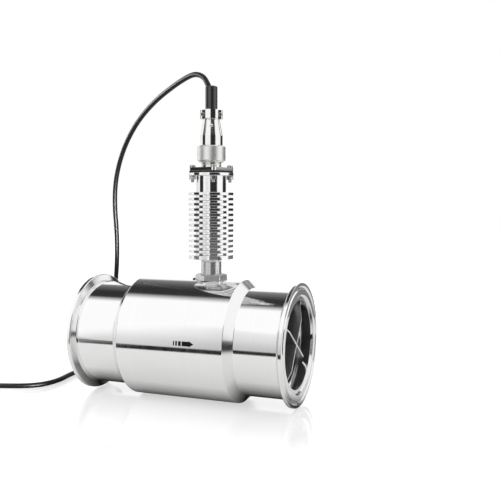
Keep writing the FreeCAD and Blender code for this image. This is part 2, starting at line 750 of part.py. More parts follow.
def saddle(side):
    """Half a cable clamp, drawn facing +X: a round back between two flats cut for the screw heads."""
    bottom = AXIS_H + CLAMP_BOTTOM
    ear_depth = CLAMP_SPLIT / 2 + CLAMP_EAR_T
    ears = Part.makeBox(ear_depth, CLAMP_W, CLAMP_H, V(STACK_X, -CLAMP_W / 2, bottom))
    half_back = (CLAMP_SCREW_SPACING - CLAMP_SCREW_HEAD_D) / 2 - CLAMP_HEAD_CLEAR
    back = Part.makeBox(CLAMP_W, 2 * half_back, CLAMP_H, V(STACK_X, -half_back, bottom))
    back = back.common(upright(0, 0, CLAMP_BOTTOM, CLAMP_TOP, CLAMP_W))
    half_space = Part.makeBox(CLAMP_W, CLAMP_W, CLAMP_H, V(STACK_X + CLAMP_SPLIT / 2, -CLAMP_W / 2, bottom))
    half = joined([back, ears]).common(half_space)
    half = half.cut(upright(0, 0, CLAMP_BOTTOM, CLAMP_TOP, BOOT_D))
    return half if side > 0 else turned(half, 180)


def clamp_screw_axes():
    middle = AXIS_H + (CLAMP_BOTTOM + CLAMP_TOP) / 2
    return [V(STACK_X, side * CLAMP_SCREW_SPACING / 2, middle) for side in (-1, 1)]


def crosswise(point, start, end, diameter):
    """A round rod along +X from the pickup axis, before it is turned to face its side."""
    return Part.makeCylinder(diameter / 2, end - start, point + V(start, 0, 0), V(1, 0, 0))


def plug_shell():
    """The rear of the plug: a straight skirt, a cone and the fixed half of the cable clamp."""
    inner_r = PLUG_SPIGOT_D / 2 + THREAD_GAP
    cable_r = CABLE_D / 2 + RUN_GAP
    cone = turned_on_stack([
        (inner_r, SHELL_BOTTOM),
        (SHELL_D / 2, SHELL_BOTTOM),
        (SHELL_D / 2, CONE_BOTTOM),
        (SHELL_TOP_D / 2, CONE_TOP),
        (SHELL_TOP_D / 2, CLAMP_BOTTOM),
        (cable_r, CLAMP_BOTTOM),
        (cable_r, CONE_TOP - SHELL_WALL),
        (SHELL_D / 2 - SHELL_WALL, SPIGOT_TOP),
        (inner_r, SPIGOT_TOP),
    ])
    shell = joined([cone, saddle(-1)])
    for axis_point in clamp_screw_axes():
        shell = shell.cut(crosswise(axis_point, -CLAMP_W, 0, CLAMP_SCREW_D + 2 * THREAD_GAP))
    set_axis = stack_point(0, 0, SHELL_BOTTOM + SET_SCREW_UP)
    shell = shell.cut(crosswise(set_axis, cable_r, SHELL_D, SET_SCREW_D))
    return turned_to_clamp_side(shell)


def cone_radius(h):
    """The outside radius of the plug shell's cone at a height."""
    share = (h - CONE_BOTTOM) / (CONE_TOP - CONE_BOTTOM)
    return SHELL_D / 2 + share * (SHELL_TOP_D - SHELL_D) / 2


def shell_set_screw():
    up = SHELL_BOTTOM + SET_SCREW_UP
    outer = cone_radius(up)
    return turned_to_clamp_side(crosswise(stack_point(0, 0, up), outer - SET_SCREW_LEN, outer, SET_SCREW_D))


def cable_clamp():
    """The loose half of the cable clamp, drawn up by two screws."""
    half = saddle(1)
    for axis_point in clamp_screw_axes():
        half = half.cut(crosswise(axis_point, 0, CLAMP_W, CLAMP_SCREW_D + 2 * RUN_GAP))
    return turned_to_clamp_side(half)


def clamp_screws():
    head_face = CLAMP_SPLIT / 2 + CLAMP_EAR_T
    end = -head_face
    screws = []
    for axis_point in clamp_screw_axes():
        shank = crosswise(axis_point, end, head_face, CLAMP_SCREW_D)
        head = crosswise(axis_point, head_face, head_face + CLAMP_SCREW_HEAD_H, CLAMP_SCREW_HEAD_D)
        screws.append(turned_to_clamp_side(joined([shank, head])))
    return Part.makeCompound(screws)


def unit(a, b):
    return (b - a).normalize()


def rounded_path(points):
    """Straight runs joined by tangent arcs as large as the shorter run beside each corner allows."""
    edges = []
    radii = []
    start = points[0]
    for before, corner, after in zip(points, points[1:], points[2:]):
        into, out = unit(before, corner), unit(corner, after)
        turn = into.getAngle(out)
        trim = ARC_SHARE * min((corner - before).Length, (after - corner).Length)
        radius = trim / math.tan(turn / 2)
        first, last = corner - into * trim, corner + out * trim
        inward = (out - into).normalize()
        middle = corner + inward * (radius / math.cos(turn / 2) - radius)
        edges.append(Part.LineSegment(start, first).toShape())
        edges.append(Part.Arc(first, middle, last).toShape())
        radii.append(radius)
        start = last
    edges.append(Part.LineSegment(start, points[-1]).toShape())
    return Part.Wire(edges), radii


def swept_round(points, diameter):
    """A round cord along the rounded path of its route points."""
    path, radii = rounded_path(points)
    circle = Part.makeCircle(diameter / 2, points[0], unit(points[0], points[1]))
    tube = path.makePipeShell([Part.Wire(circle)], True, True)
    expected = math.pi * diameter ** 2 / 4 * path.Length
    print("cord: length %.1f, volume %.1f of %.1f" % (path.Length, tube.Volume, expected))
    print("cord: bend radii " + ", ".join("%.1f" % r for r in radii))
    return tube


def coil_point(degrees, radius, z):
    a = math.radians(degrees)
    return V(COIL_X + radius * math.cos(a), COIL_Y + radius * math.sin(a), z)


def coil_entry():
    """Where the route runs into the outer turn of the coil, and the point just before it."""
    last = V(*CABLE_ROUTE[-1])
    to_centre = V(COIL_X, COIL_Y, FLOOR_Z) - last
    bearing = math.degrees(math.atan2(-to_centre.y, -to_centre.x))
    tangent = bearing - math.degrees(math.acos(COIL_OUTER_TURN / to_centre.Length))
    return coil_point(tangent, COIL_OUTER_TURN, FLOOR_Z)


def cable_coil():
    """The outer form of the stored turns, waisted where the tie draws them in."""
    low, high = COIL_MID_R - COIL_HALF_W, COIL_MID_R + COIL_HALF_W
    corners = [V(COIL_X + low, COIL_Y, 0), V(COIL_X + high, COIL_Y, 0)]
    corners += [V(COIL_X + high, COIL_Y, COIL_H), V(COIL_X + low, COIL_Y, COIL_H)]
    face = Part.Face(Part.makePolygon(corners + corners[:1]))
    ring = face.revolve(V(COIL_X, COIL_Y, 0), V(0, 0, 1), 360)
    return ring.cut(tie_frame(TIE_T, 2 * TIE_T, TIE_W + 2 * SLIDE_GAP))


def tie_frame(inset, thickness, width):
    """A rectangular band round the coil's section, reaching inwards from its outside by an inset."""
    deep = 2 * COIL_HALF_W - 2 * inset
    tall = COIL_H - 2 * inset
    x0 = COIL_X + COIL_MID_R - deep / 2
    hole = Part.makeBox(deep, width, tall, V(x0, COIL_Y - width / 2, inset))
    grow = thickness
    size = V(deep + 2 * grow, width, tall + 2 * grow)
    block = Part.makeBox(size.x, size.y, size.z, V(x0 - grow, COIL_Y - width / 2, inset - grow))
    band = block.cut(hole)
    band.rotate(V(COIL_X, COIL_Y, 0), V(0, 0, 1), TIE_TURN_DEG)
    return band


def coil_tie():
    return tie_frame(TIE_T, TIE_T, TIE_W)


def tail_route():
    """The free end, from the coil's top outer turn down to the standing surface."""
    start = coil_point(TAIL_BEARING_DEG, COIL_OUTER_TURN, COIL_H - CABLE_D / 2)
    return [start + V(-drop * TAIL_LEAN, along, -drop) for along, drop in TAIL_POINTS]


def cable():
    route = [V(*p) for p in CABLE_ROUTE] + [coil_entry()]
    return swept_round(route, CABLE_D).cut(cable_coil())


def cable_tail():
    return swept_round(tail_route(), CABLE_D).cut(cable_coil())


def bare_cores():
    """The stripped cores at the free end, fanned a little, each on the standing surface."""
    before, end = tail_route()[-2:]
    ahead = unit(before, end)
    aside = V(ahead.y, -ahead.x, 0).normalize()
    cores = []
    for i in range(PIN_COUNT):
        side = i - (PIN_COUNT - 1) / 2
        foot = end + aside * (side * CORE_PITCH)
        turn_at = foot + ahead * CORE_STRAIGHT
        stop = turn_at + aside * (side * CORE_FAN) + V(0, CORE_BARE - CORE_STRAIGHT, CORE_D / 2 - turn_at.z)
        cores.append(rod_along([foot, turn_at, stop], CORE_D))
    return Part.makeCompound(cores)


def cable_end():
    """The end of the cable inside the plug: gripped in the boot, up to where the free cable starts."""
    return upright(0, 0, CONE_TOP - CABLE_END_DEPTH, CABLE_START, CABLE_D)


def solder_cores():
    """The cores from the cable's end to the solder cups of the plug contacts."""
    end = CONE_TOP - CABLE_END_DEPTH
    cores = []
    for dx, dy in contact_places():
        share = CABLE_D / 4 / math.hypot(dx, dy)
        points = [
            stack_point(dx, dy, CONTACT_TOP - CUP_DEPTH),
            stack_point(dx, dy, CONTACT_TOP),
            stack_point(dx * share, dy * share, end - CORE_D),
            stack_point(dx * share, dy * share, end),
        ]
        cores.append(rod_along(points, LEAD_D))
    return Part.makeCompound(cores)


def cable_boot():
    """The rubber sleeve gripped by the clamp, drawn aside by the cable where it leaves."""
    sleeve = upright(0, 0, CLAMP_BOTTOM, BOOT_TOP, BOOT_D)
    bore = upright(0, 0, CLAMP_BOTTOM, CABLE_START, CABLE_D)
    leaving, _ = rounded_path([V(*p) for p in CABLE_ROUTE[:5]])
    circle = Part.makeCircle(CABLE_D / 2 + SLIDE_GAP, V(*CABLE_ROUTE[0]), V(0, 0, 1))
    return sleeve.cut(bore).cut(leaving.makePipeShell([Part.Wire(circle)], True, True))


def bush(end, face):
    far = face + end * BUSH_LEN
    return tube_on_flow(min(face, far), max(face, far), BUSH_D / 2, SHAFT_D / 2 + SHAFT_GAP)


def thrust_pad(end, face):
    near = face + end * (PAD_FACE - HUB_GAP)
    x0 = min(near, near + end * PAD_T)
    return Part.makeCylinder(BUSH_D / 2, PAD_T, V(x0, 0, AXIS_H), V(1, 0, 0))


PARTS = {
    "meter_body": meter_body(),
    "inlet_vane_a": vane(-1, INLET_VANE_LEN, INLET_TIP, VANE_TURN_DEG, True),
    "inlet_vane_b": vane(-1, INLET_VANE_LEN, INLET_TIP, VANE_TURN_DEG + 90, False),
    "outlet_vane_a": vane(1, OUTLET_VANE_LEN, OUTLET_TIP, VANE_TURN_DEG, True),
    "outlet_vane_b": vane(1, OUTLET_VANE_LEN, OUTLET_TIP, VANE_TURN_DEG + 90, False),
    "inlet_hub": hub(-1, INLET_FACE, INLET_HUB_LEN, INLET_VANE_LEN - FRONT),
    "outlet_hub": hub(1, OUTLET_FACE, OUTLET_HUB_LEN, FRONT - OUTLET_VANE_LEN),
    "inlet_retaining_ring": retaining_ring(-1),
    "outlet_retaining_ring": retaining_ring(1),
    "inlet_bush": bush(-1, INLET_FACE),
    "outlet_bush": bush(1, OUTLET_FACE),
    "inlet_thrust_pad": thrust_pad(-1, INLET_FACE),
    "outlet_thrust_pad": thrust_pad(1, OUTLET_FACE),
    "rotor": rotor(),
    "rotor_shaft": rotor_shaft(),
    "finned_housing": finned_housing(),
    "lock_nut": lock_nut(),
    "coil_bobbin": coil_bobbin(),
    "pickup_coil": pickup_coil(),
    "pole_piece": upright(0, 0, CAVITY_BOTTOM, POLE_TOP, POLE_D),
    "pickup_magnet": upright(0, 0, POLE_TOP, BOARD_BOTTOM, MAGNET_D),
    "amplifier_board": amplifier_board(),
    "coil_leads": coil_leads(),
    "pickup_leads": pickup_leads(),
    "socket_shell": socket_shell(),
    "socket_gasket": socket_gasket(),
    "socket_insert": insulator(INSERT_BOTTOM, INSERT_TOP, SOCKET_BORE_D, PIN_D),
    "contact_pins": contact_pins(),
    "flange_screws": flange_screws(),
    "flange_washers": flange_washers(),
    "flange_nuts": flange_nuts(),
    "plug_barrel": plug_barrel(),
    "plug_insert": insulator(PLUG_INSERT_BOTTOM, SHELL_BOTTOM, 2 * PLUG_INSERT_R, CONTACT_D),
    "contact_sockets": contact_sockets(),
    "coupling_ring": coupling_ring(),
    "plug_shell": plug_shell(),
    "shell_set_screw": shell_set_screw(),
    "cable_clamp": cable_clamp(),
    "clamp_screws": clamp_screws(),
    "cable_boot": cable_boot(),
    "cable_end": cable_end(),
    "solder_cores": solder_cores(),
    "cable": cable(),
    "cable_coil": cable_coil(),
    "coil_tie": coil_tie(),
    "cable_tail": cable_tail(),
    "bare_cores": bare_cores(),
}

os.makedirs("parts", exist_ok=True)
for name, shape in PARTS.items():
    if not shape.isValid():
        raise ValueError(name + " is not a valid shape")
    shape.exportStep("parts/" + name + ".step")
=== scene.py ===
import bmesh
import bpy
import math
from mathutils import Matrix, Vector


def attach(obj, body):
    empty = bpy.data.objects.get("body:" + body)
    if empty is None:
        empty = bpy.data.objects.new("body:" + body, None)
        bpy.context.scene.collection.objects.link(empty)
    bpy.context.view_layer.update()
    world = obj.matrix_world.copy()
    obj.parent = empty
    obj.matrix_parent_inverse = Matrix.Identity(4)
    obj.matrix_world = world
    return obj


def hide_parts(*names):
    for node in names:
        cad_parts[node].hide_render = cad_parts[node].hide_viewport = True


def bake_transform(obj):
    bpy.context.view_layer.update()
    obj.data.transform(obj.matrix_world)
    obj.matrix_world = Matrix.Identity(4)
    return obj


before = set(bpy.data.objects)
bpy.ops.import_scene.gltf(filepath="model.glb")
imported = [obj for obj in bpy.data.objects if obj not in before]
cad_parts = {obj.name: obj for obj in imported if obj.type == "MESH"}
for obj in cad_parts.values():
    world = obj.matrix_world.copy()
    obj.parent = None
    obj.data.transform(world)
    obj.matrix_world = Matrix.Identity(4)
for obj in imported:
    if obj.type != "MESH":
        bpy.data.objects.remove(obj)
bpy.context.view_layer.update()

# The viewpoint: a normal lens a little above the pipe run, looking at it from the outlet side.
# The connector stands upright in the picture and the open outlet faces right.
RIGHT = Vector((0.9356, 0.35302, 0.00466))
UP = Vector((-0.027, 0.05839, 0.99793))
TOWARDS_EYE = Vector((0.35202, -0.93379, 0.06416))
EYE = Vector((0.23001, -0.48961, 0.14812))
camera = bpy.data.objects.new("viewpoint", bpy.data.cameras.new("viewpoint"))
camera.data.lens = 50.82
camera.data.sensor_width = 36.0
camera.data.clip_start = 0.01
camera.matrix_world = Matrix([[RIGHT[i], UP[i], TOWARDS_EYE[i], EYE[i]] for i in range(3)] + [[0, 0, 0, 1]])
bpy.context.scene.collection.objects.link(camera)
bpy.context.scene.camera = camera

# The meter body: a thick barrel between two necks and two clamp ferrules, turned from one stainless bar
# and polished. The end faces are grooved for a gasket, and a seat for the lock nut is milled on top.
MM = 0.001
WELD_GAP = 0.003
AXIS_H = 46.0
STACK_X = 14.0
FLOW_FOOT = Vector((0, 0, AXIS_H))
FLOW = Vector((1, 0, 0))
FLOW_OUT = Vector((0, 0, 1))
STACK_FOOT = Vector((STACK_X, 0, AXIS_H))
STACK_UP = Vector((0, 0, 1))
STACK_OUT = Vector((1, 0, 0))
SEAT_H = 45.0
STEM_TIP_H = 34.5
STEM_R = 7.9
BARREL_HALF, BARREL_R = 42.0, 46.0
NECK_FROM, PIPE_NECK_R = 48.0, 40.0
FACE_X, RIM_R, GROOVE_X = 85.0, 45.5, 83.9
SHOULDER_X, MOUTH_R, BORE_R = 74.0, 36.0, 32.5
# One millimetre rounds ease the root and the edge of the ferrule's back, which slopes at 20 degrees.
ROOT_X, EDGE_X = 79.448, 82.85
ROUND_TURNS = [-90.0, -72.5, -55.0, -37.5, -20.0]
neck_root = [(ROOT_X + math.cos(math.radians(a)), PIPE_NECK_R + 1 + math.sin(math.radians(a)))
             for a in ROUND_TURNS]
back_edge = [(EDGE_X + math.cos(math.radians(70 - a)), RIM_R - 1 + math.sin(math.radians(70 - a)))
             for a in ROUND_TURNS]
body_end = [(BARREL_HALF, BARREL_R), (NECK_FROM, PIPE_NECK_R)] + neck_root + back_edge + [
    (FACE_X, RIM_R), (FACE_X, 43.0), (GROOVE_X, 42.4), (GROOVE_X, 41.2), (FACE_X, 40.6), (FACE_X, 36.5),
    (FACE_X - 0.5, MOUTH_R), (SHOULDER_X, MOUTH_R), (SHOULDER_X, BORE_R),
]


def only(piece):
    """Select this piece alone and make it the one that operators act on."""
    bpy.ops.object.select_all(action="DESELECT")
    piece.select_set(True)
    bpy.context.view_layer.objects.active = piece
    return piece


def turned_piece(name, section, steps, foot=STACK_FOOT, along=STACK_UP, out=STACK_OUT):
    """A piece turned on a lathe: its half section, in millimetres along and out from its axis, spun round."""
    places = [(foot + along * a + out * r) * MM for a, r in section]
    bpy.ops.object.select_all(action="DESELECT")
    bpy.ops.mesh.primitive_plane_add(size=MM)
    piece = bpy.context.object
    piece.name = piece.data.name = name
    bpy.ops.object.mode_set(mode="EDIT")
    bpy.ops.mesh.select_mode(type="VERT")
    bpy.ops.mesh.merge(type="CENTER")
    bpy.ops.transform.translate(value=places[0])
    for before, after in zip(places, places[1:]):
        bpy.ops.mesh.extrude_vertices_move(TRANSFORM_OT_translate={"value": after - before})
    bpy.ops.mesh.select_all(action="SELECT")
    bpy.ops.mesh.spin(steps=steps, angle=2 * math.pi, center=foot * MM, axis=along)
    bpy.ops.mesh.select_all(action="SELECT")
    bpy.ops.mesh.remove_doubles(threshold=WELD_GAP * MM)
    bpy.ops.mesh.normals_make_consistent(inside=False)
    bpy.ops.object.mode_set(mode="OBJECT")
    return piece


def eased_edges(piece, radius, segments=3, sharper_than=30.0):
    """Round the sharp edges of a piece by a small radius."""
    only(piece)
    edge = piece.modifiers.new("edge", "BEVEL")
    edge.width = radius * MM
    edge.segments = segments
    edge.limit_method = "ANGLE"
    edge.angle_limit = math.radians(sharper_than)
    bpy.ops.object.modifier_apply(modifier="edge")


def smooth_faces(piece, smoother_than=35.0):
    """Shade turned and rounded faces smooth, and keep flats flat up to their edges."""
    only(piece)
    bpy.ops.object.shade_smooth_by_angle(angle=math.radians(smoother_than))
    piece.modifiers.new("even", "WEIGHTED_NORMAL").keep_sharp = True
    bpy.ops.object.modifier_apply(modifier="even")


def worked_with(piece, tool, operation):
    """Cut a tool out of a piece, keep only what both hold, or weld the tool on; the tool is used up."""
    only(piece)
    work = piece.modifiers.new("work", "BOOLEAN")
    work.operation = operation
    work.object = tool
    bpy.ops.object.modifier_apply(modifier="work")
    bpy.data.objects.remove(tool)


section = body_end + [(-x, r) for x, r in reversed(body_end)] + body_end[:1]
pipe_run = turned_piece("pipe_run", section, 180, FLOW_FOOT, FLOW, FLOW_OUT)
eased_edges(pipe_run, 0.3)
# The seat's cutter is turned one degree, so that none of its facets lies along one of the run's.
SEAT_R, CUTTER_TOP = 14.0, 60.0
cutter_out = Matrix.Rotation(math.radians(1.0), 3, "Z") @ STACK_OUT
section = [(CUTTER_TOP, 0), (STEM_TIP_H, 0), (STEM_TIP_H, STEM_R), (SEAT_H, STEM_R), (SEAT_H, SEAT_R),
           (CUTTER_TOP, SEAT_R), (CUTTER_TOP, 0)]
seat_cutter = turned_piece("seat_cutter", section, 96, out=cutter_out)
worked_with(pipe_run, seat_cutter, "DIFFERENCE")
bpy.ops.object.mode_set(mode="EDIT")
bpy.ops.mesh.select_mode(type="FACE")
bpy.ops.mesh.select_all(action="DESELECT")
shape = bmesh.from_edit_mesh(pipe_run.data)
for face in shape.faces:
    middle = face.calc_center_median() / MM
    face.select = abs(middle.z - AXIS_H - SEAT_H) < 0.01 and face.normal.z > 0.99
bmesh.update_edit_mesh(pipe_run.data)
bpy.ops.mesh.region_to_loop()
bpy.ops.mesh.mark_sharp()
bpy.ops.object.mode_set(mode="OBJECT")
smooth_faces(pipe_run)


def linear(hex_code):
    """An sRGB hex colour as linear red, green, blue and alpha."""
    channels = [int(hex_code[i:i + 2], 16) / 255 for i in (1, 3, 5)]
    return [c / 12.92 if c <= 0.04045 else ((c + 0.055) / 1.055) ** 2.4 for c in channels] + [1.0]


def add_node(tree, kind, inputs, **settings):
    """One shader node with its settings; an input is a value, an output, or a node for its first output."""
    made = tree.nodes.new(f"ShaderNode{kind}")
    for key, value in settings.items():
        setattr(made, key, value)
    for key, value in inputs.items():
        if isinstance(value, bpy.types.Node):
            value = next(output for output in value.outputs if output.enabled)
        if isinstance(value, bpy.types.NodeSocket):
            tree.links.new(value, made.inputs[key])
        else:
            made.inputs[key].default_value = value
    return made


def finish_of(name):
    """A new material with only its shader, and that shader."""
    material = bpy.data.materials.new(name)
    material.use_nodes = True
    return material, material.node_tree, material.node_tree.nodes["Principled BSDF"]


def patterned(tree, shader, pattern, tones, roughness, strength=0.5, depth=0.0, ridges=None, span=(0.0, 1.0)):
    """Let a pattern change a finish's tone and gloss, and ridges or itself its height, in millimetres."""
    tone = add_node(tree, "Mix", {0: pattern, 6: linear(tones[0]), 7: linear(tones[1])}, data_type="RGBA")
    gloss = add_node(tree, "MapRange", {"Value": pattern, "From Min": span[0], "From Max": span[1],
                                        "To Min": roughness[0], "To Max": roughness[1]})
    tree.links.new(tone.outputs[2], shader.inputs["Base Color"])
    tree.links.new(gloss.outputs["Result"], shader.inputs["Roughness"])
    if depth:
        relief = add_node(tree, "Bump", {"Height": ridges or pattern, "Strength": strength,
                                         "Distance": depth * MM})
        tree.links.new(relief.outputs["Normal"], shader.inputs["Normal"])


def lathe_finish(name, tones, roughness, spacing, depth, centre=STACK_FOOT, axis=STACK_UP):
    """A metal left by the lathe: rings round its axis, spaced in millimetres, in tone, gloss and height."""
    material, tree, shader = finish_of(name)
    shader.inputs["Metallic"].default_value = 1.0
    place = add_node(tree, "TexCoord", {})
    centred = add_node(tree, "VectorMath", {0: place.outputs["Object"], 1: centre * MM}, operation="SUBTRACT")
    across = add_node(tree, "VectorMath", {0: centred, 1: Vector((1, 1, 1)) - axis}, operation="MULTIPLY")
    radius = add_node(tree, "VectorMath", {0: across}, operation="LENGTH")
    height = add_node(tree, "VectorMath", {0: centred, 1: axis}, operation="DOT_PRODUCT")
    ring = add_node(tree, "CombineXYZ", {"X": height, "Y": radius})
    marks = add_node(tree, "TexNoise", {"Vector": ring, "Scale": 1 / (spacing * MM), "Detail": 3.0})
    cloud = add_node(tree, "TexNoise", {"Vector": place.outputs["Object"], "Scale": 45.0, "Detail": 4.0})
    mixed = add_node(tree, "Mix", {0: 0.35, 2: marks, 3: cloud}, data_type="FLOAT")
    patterned(tree, shader, mixed, tones, roughness, 1.0, depth, marks, (0.3, 0.7))
    return material


def fitted(piece, finish, body, slot, *nodes):
    """Give a piece its finish, fix it to its body, and let it stand for the solids it replaces."""
    piece.data.materials.clear()
    piece.data.materials.append(finish)
    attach(piece, body)
    if nodes:
        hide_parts(*nodes)


# Stainless steel, turned and then mopped bright: near mirror, with faint rings left by the lathe. The rings
# are about 0.1 mm apart on the real bar and are drawn at 0.6 mm, so that they show.
polished_run = lathe_finish("polished_stainless_bar", ("#eeeeee", "#f9f9f9"), (0.06, 0.12), 0.6, 0.0003,
                            FLOW_FOOT, FLOW)
fitted(pipe_run, polished_run, "meter", "polished_stainless", "meter_body")
# The chamfers beside the barrel and the backs of the ferrules are left as the tool cut them, so they mirror
# softly.
CHAMFER_FROM, CHAMFER_TO, BACK_FROM, BACK_TO = 42.2, 47.8, 79.5, 82.8
satin_chamfer = lathe_finish("satin_stainless_chamfer", ("#e6e6e6", "#f4f4f4"), (0.1, 0.16), 0.6, 0.0003,
                             FLOW_FOOT, FLOW)
pipe_run.data.materials.append(satin_chamfer)
for face in pipe_run.data.polygons:
    arm = face.center / MM - FLOW_FOOT
    sloped = CHAMFER_FROM < abs(arm.x) < CHAMFER_TO or BACK_FROM < abs(arm.x) < BACK_TO
    face.material_index = int(sloped and arm.yz.length > PIPE_NECK_R + 0.02)

# The flow arrow: a plain mark burnt black into the barrel's side by laser, three bars and an arrow that
# points the way the liquid runs. It hugs the barrel and is only a few hundredths of a millimetre thick.
MARK_Y, MARK_Z = -48.0, 50.0
MARK_BARS = [(4.7, 5.6), (6.5, 7.8), (8.7, 10.8), (11.5, 16.6)]
MARK_HALF, MARK_LIFT, MARK_T = 1.65, 0.02, 0.03
HEAD_BACK, HEAD_LEN, HEAD_HALF = 0.4, 3.6, 2.1
bpy.ops.object.select_all(action="DESELECT")
bpy.ops.mesh.primitive_plane_add(size=1.0, location=(0, 0, 0), rotation=(math.pi / 2, 0, 0))
flow_arrow = bpy.context.object
flow_arrow.name = flow_arrow.data.name = "flow_arrow"
bpy.ops.object.transform_apply(location=True, rotation=True, scale=True)
bpy.ops.object.mode_set(mode="EDIT")
bpy.ops.mesh.select_all(action="SELECT")
bpy.ops.mesh.delete(type="VERT")
for x0, x1 in MARK_BARS:
    middle = ((x0 + x1) / 2 * MM, MARK_Y * MM, MARK_Z * MM)
    bpy.ops.mesh.select_all(action="DESELECT")
    bpy.ops.mesh.primitive_plane_add(size=1.0, location=middle, rotation=(math.pi / 2, 0, 0))
    bpy.ops.transform.resize(value=((x1 - x0) * MM, 1, 2 * MARK_HALF * MM), center_override=middle)
bpy.ops.mesh.select_all(action="DESELECT")
shape = bmesh.from_edit_mesh(flow_arrow.data)
for edge in shape.edges:
    edge.select = all(abs(v.co.x - MARK_BARS[-1][1] * MM) < 1e-6 for v in edge.verts)
bpy.ops.mesh.extrude_edges_move(TRANSFORM_OT_translate={"value": (HEAD_BACK * MM, 0, 0)})
bpy.ops.transform.resize(value=(1, 1, HEAD_HALF / MARK_HALF), center_override=(0, 0, MARK_Z * MM))
bpy.ops.mesh.extrude_edges_move(TRANSFORM_OT_translate={"value": (HEAD_LEN * MM, 0, 0)})
bpy.ops.transform.resize(value=(1, 1, 0.02), center_override=(0, 0, MARK_Z * MM))
bpy.ops.mesh.select_all(action="SELECT")
bpy.ops.mesh.subdivide(number_cuts=4)
bpy.ops.object.mode_set(mode="OBJECT")
wrap = flow_arrow.modifiers.new("wrap", "SHRINKWRAP")
wrap.target = pipe_run
wrap.wrap_method = "PROJECT"
wrap.use_project_y = True
wrap.use_positive_direction = True
wrap.use_negative_direction = True
wrap.offset = MARK_LIFT * MM
bpy.ops.object.modifier_apply(modifier="wrap")
skin = flow_arrow.modifiers.new("skin", "SOLIDIFY")
skin.thickness = MARK_T * MM
bpy.ops.object.modifier_apply(modifier="skin")
# Laser-blackened steel: a dull dark oxide, mottled where the beam's lines overlap.
oxide, tree, shader = finish_of("laser_blackened_steel")
shader.inputs["Metallic"].default_value = 0.6
place = add_node(tree, "TexCoord", {})
mottle = add_node(tree, "TexNoise", {"Vector": place.outputs["Object"], "Scale": 2500.0, "Detail": 2.0})
patterned(tree, shader, mottle, ("#0b0b0c", "#1a1a1b"), (0.5, 0.8))
fitted(flow_arrow, oxide, "meter", "polished_stainless")

# The straighteners: two crossed plates in each end of the bore, slotted into each other and into a bearing
# carrier, and a split spring ring that holds them in the mouth. All are stainless and left as machined.
def as_modelled(finish, *nodes):
    """Give solids that are right as they are their finish."""
    for name in nodes:
        node = bpy.data.objects[name]
        if not node.material_slots:
            node.data.materials.append(finish)
        for slot in node.material_slots:
            slot.material = finish


# Cold rolled stainless sheet: dull grey faces with the rolling grain along the flow, about 0.3 mm wide, and
# bright cut edges at the ends.
sheet_steel, tree, shader = finish_of("rolled_stainless_sheet")
shader.inputs["Metallic"].default_value = 1.0
place = add_node(tree, "TexCoord", {})
stretch = add_node(tree, "Mapping", {"Vector": place.outputs["Object"], "Scale": (0.05, 1.0, 1.0)})
grain = add_node(tree, "TexNoise", {"Vector": stretch, "Scale": 3300.0, "Detail": 2.0})
face_tone = add_node(tree, "Mix", {0: grain, 6: linear("#b0b0b0"), 7: linear("#d4d4d4")}, data_type="RGBA")
facing = add_node(tree, "SeparateXYZ", {"Vector": place.outputs["Normal"]})
along_flow = add_node(tree, "Math", {0: facing.outputs["X"]}, operation="ABSOLUTE")
cut_edge = add_node(tree, "Math", {0: along_flow, 1: 0.3}, operation="GREATER_THAN")
tone = add_node(tree, "Mix", {0: cut_edge, 6: face_tone, 7: linear("#fcfcfc")}, data_type="RGBA")
rolled = add_node(tree, "MapRange", {"Value": grain, "To Min": 0.24, "To Max": 0.42})
gloss = add_node(tree, "Mix", {0: cut_edge, 2: rolled, 3: 0.5}, data_type="FLOAT")
relief = add_node(tree, "Bump", {"Height": grain, "Strength": 0.4, "Distance": 0.00002})
tree.links.new(tone.outputs[2], shader.inputs["Base Color"])
tree.links.new(gloss.outputs[0], shader.inputs["Roughness"])
tree.links.new(relief.outputs["Normal"], shader.inputs["Normal"])
as_modelled(sheet_steel, "inlet_vane_a", "inlet_vane_b", "outlet_vane_a", "outlet_vane_b")
# The same steel turned on the lathe and not polished: satin, with plain tool rings about 0.4 mm apart.
turned_steel = lathe_finish("machined_stainless", ("#a8a8a7", "#cbcbca"), (0.2, 0.36), 0.4, 0.004,
                            FLOW_FOOT, FLOW)
as_modelled(turned_steel, "inlet_hub", "outlet_hub")
# Spring steel for the rings, rolled bright: near mirror, with faint lines round the ring.
spring_steel = lathe_finish("bright_spring_steel", ("#e2e2e2", "#f4f4f4"), (0.1, 0.2), 0.5, 0.001,
                            FLOW_FOOT, FLOW)
as_modelled(spring_steel, "inlet_retaining_ring", "outlet_retaining_ring")

# The rotor and its bearings: eight helical blades milled from magnetic stainless, pressed on a ground spindle
# that runs in sintered carbide bushes between two carbide thrust pads.
blade_steel = lathe_finish("milled_magnetic_stainless", ("#a9a8a4", "#cfcec9"), (0.22, 0.4), 0.8, 0.006,
                           FLOW_FOOT, FLOW)
as_modelled(blade_steel, "rotor", "rotor_shaft")
carbide = lathe_finish("ground_carbide", ("#4a4a4d", "#68686b"), (0.22, 0.34), 0.3, 0.002, FLOW_FOOT, FLOW)
as_modelled(carbide, "inlet_bush", "outlet_bush", "inlet_thrust_pad", "outlet_thrust_pad")

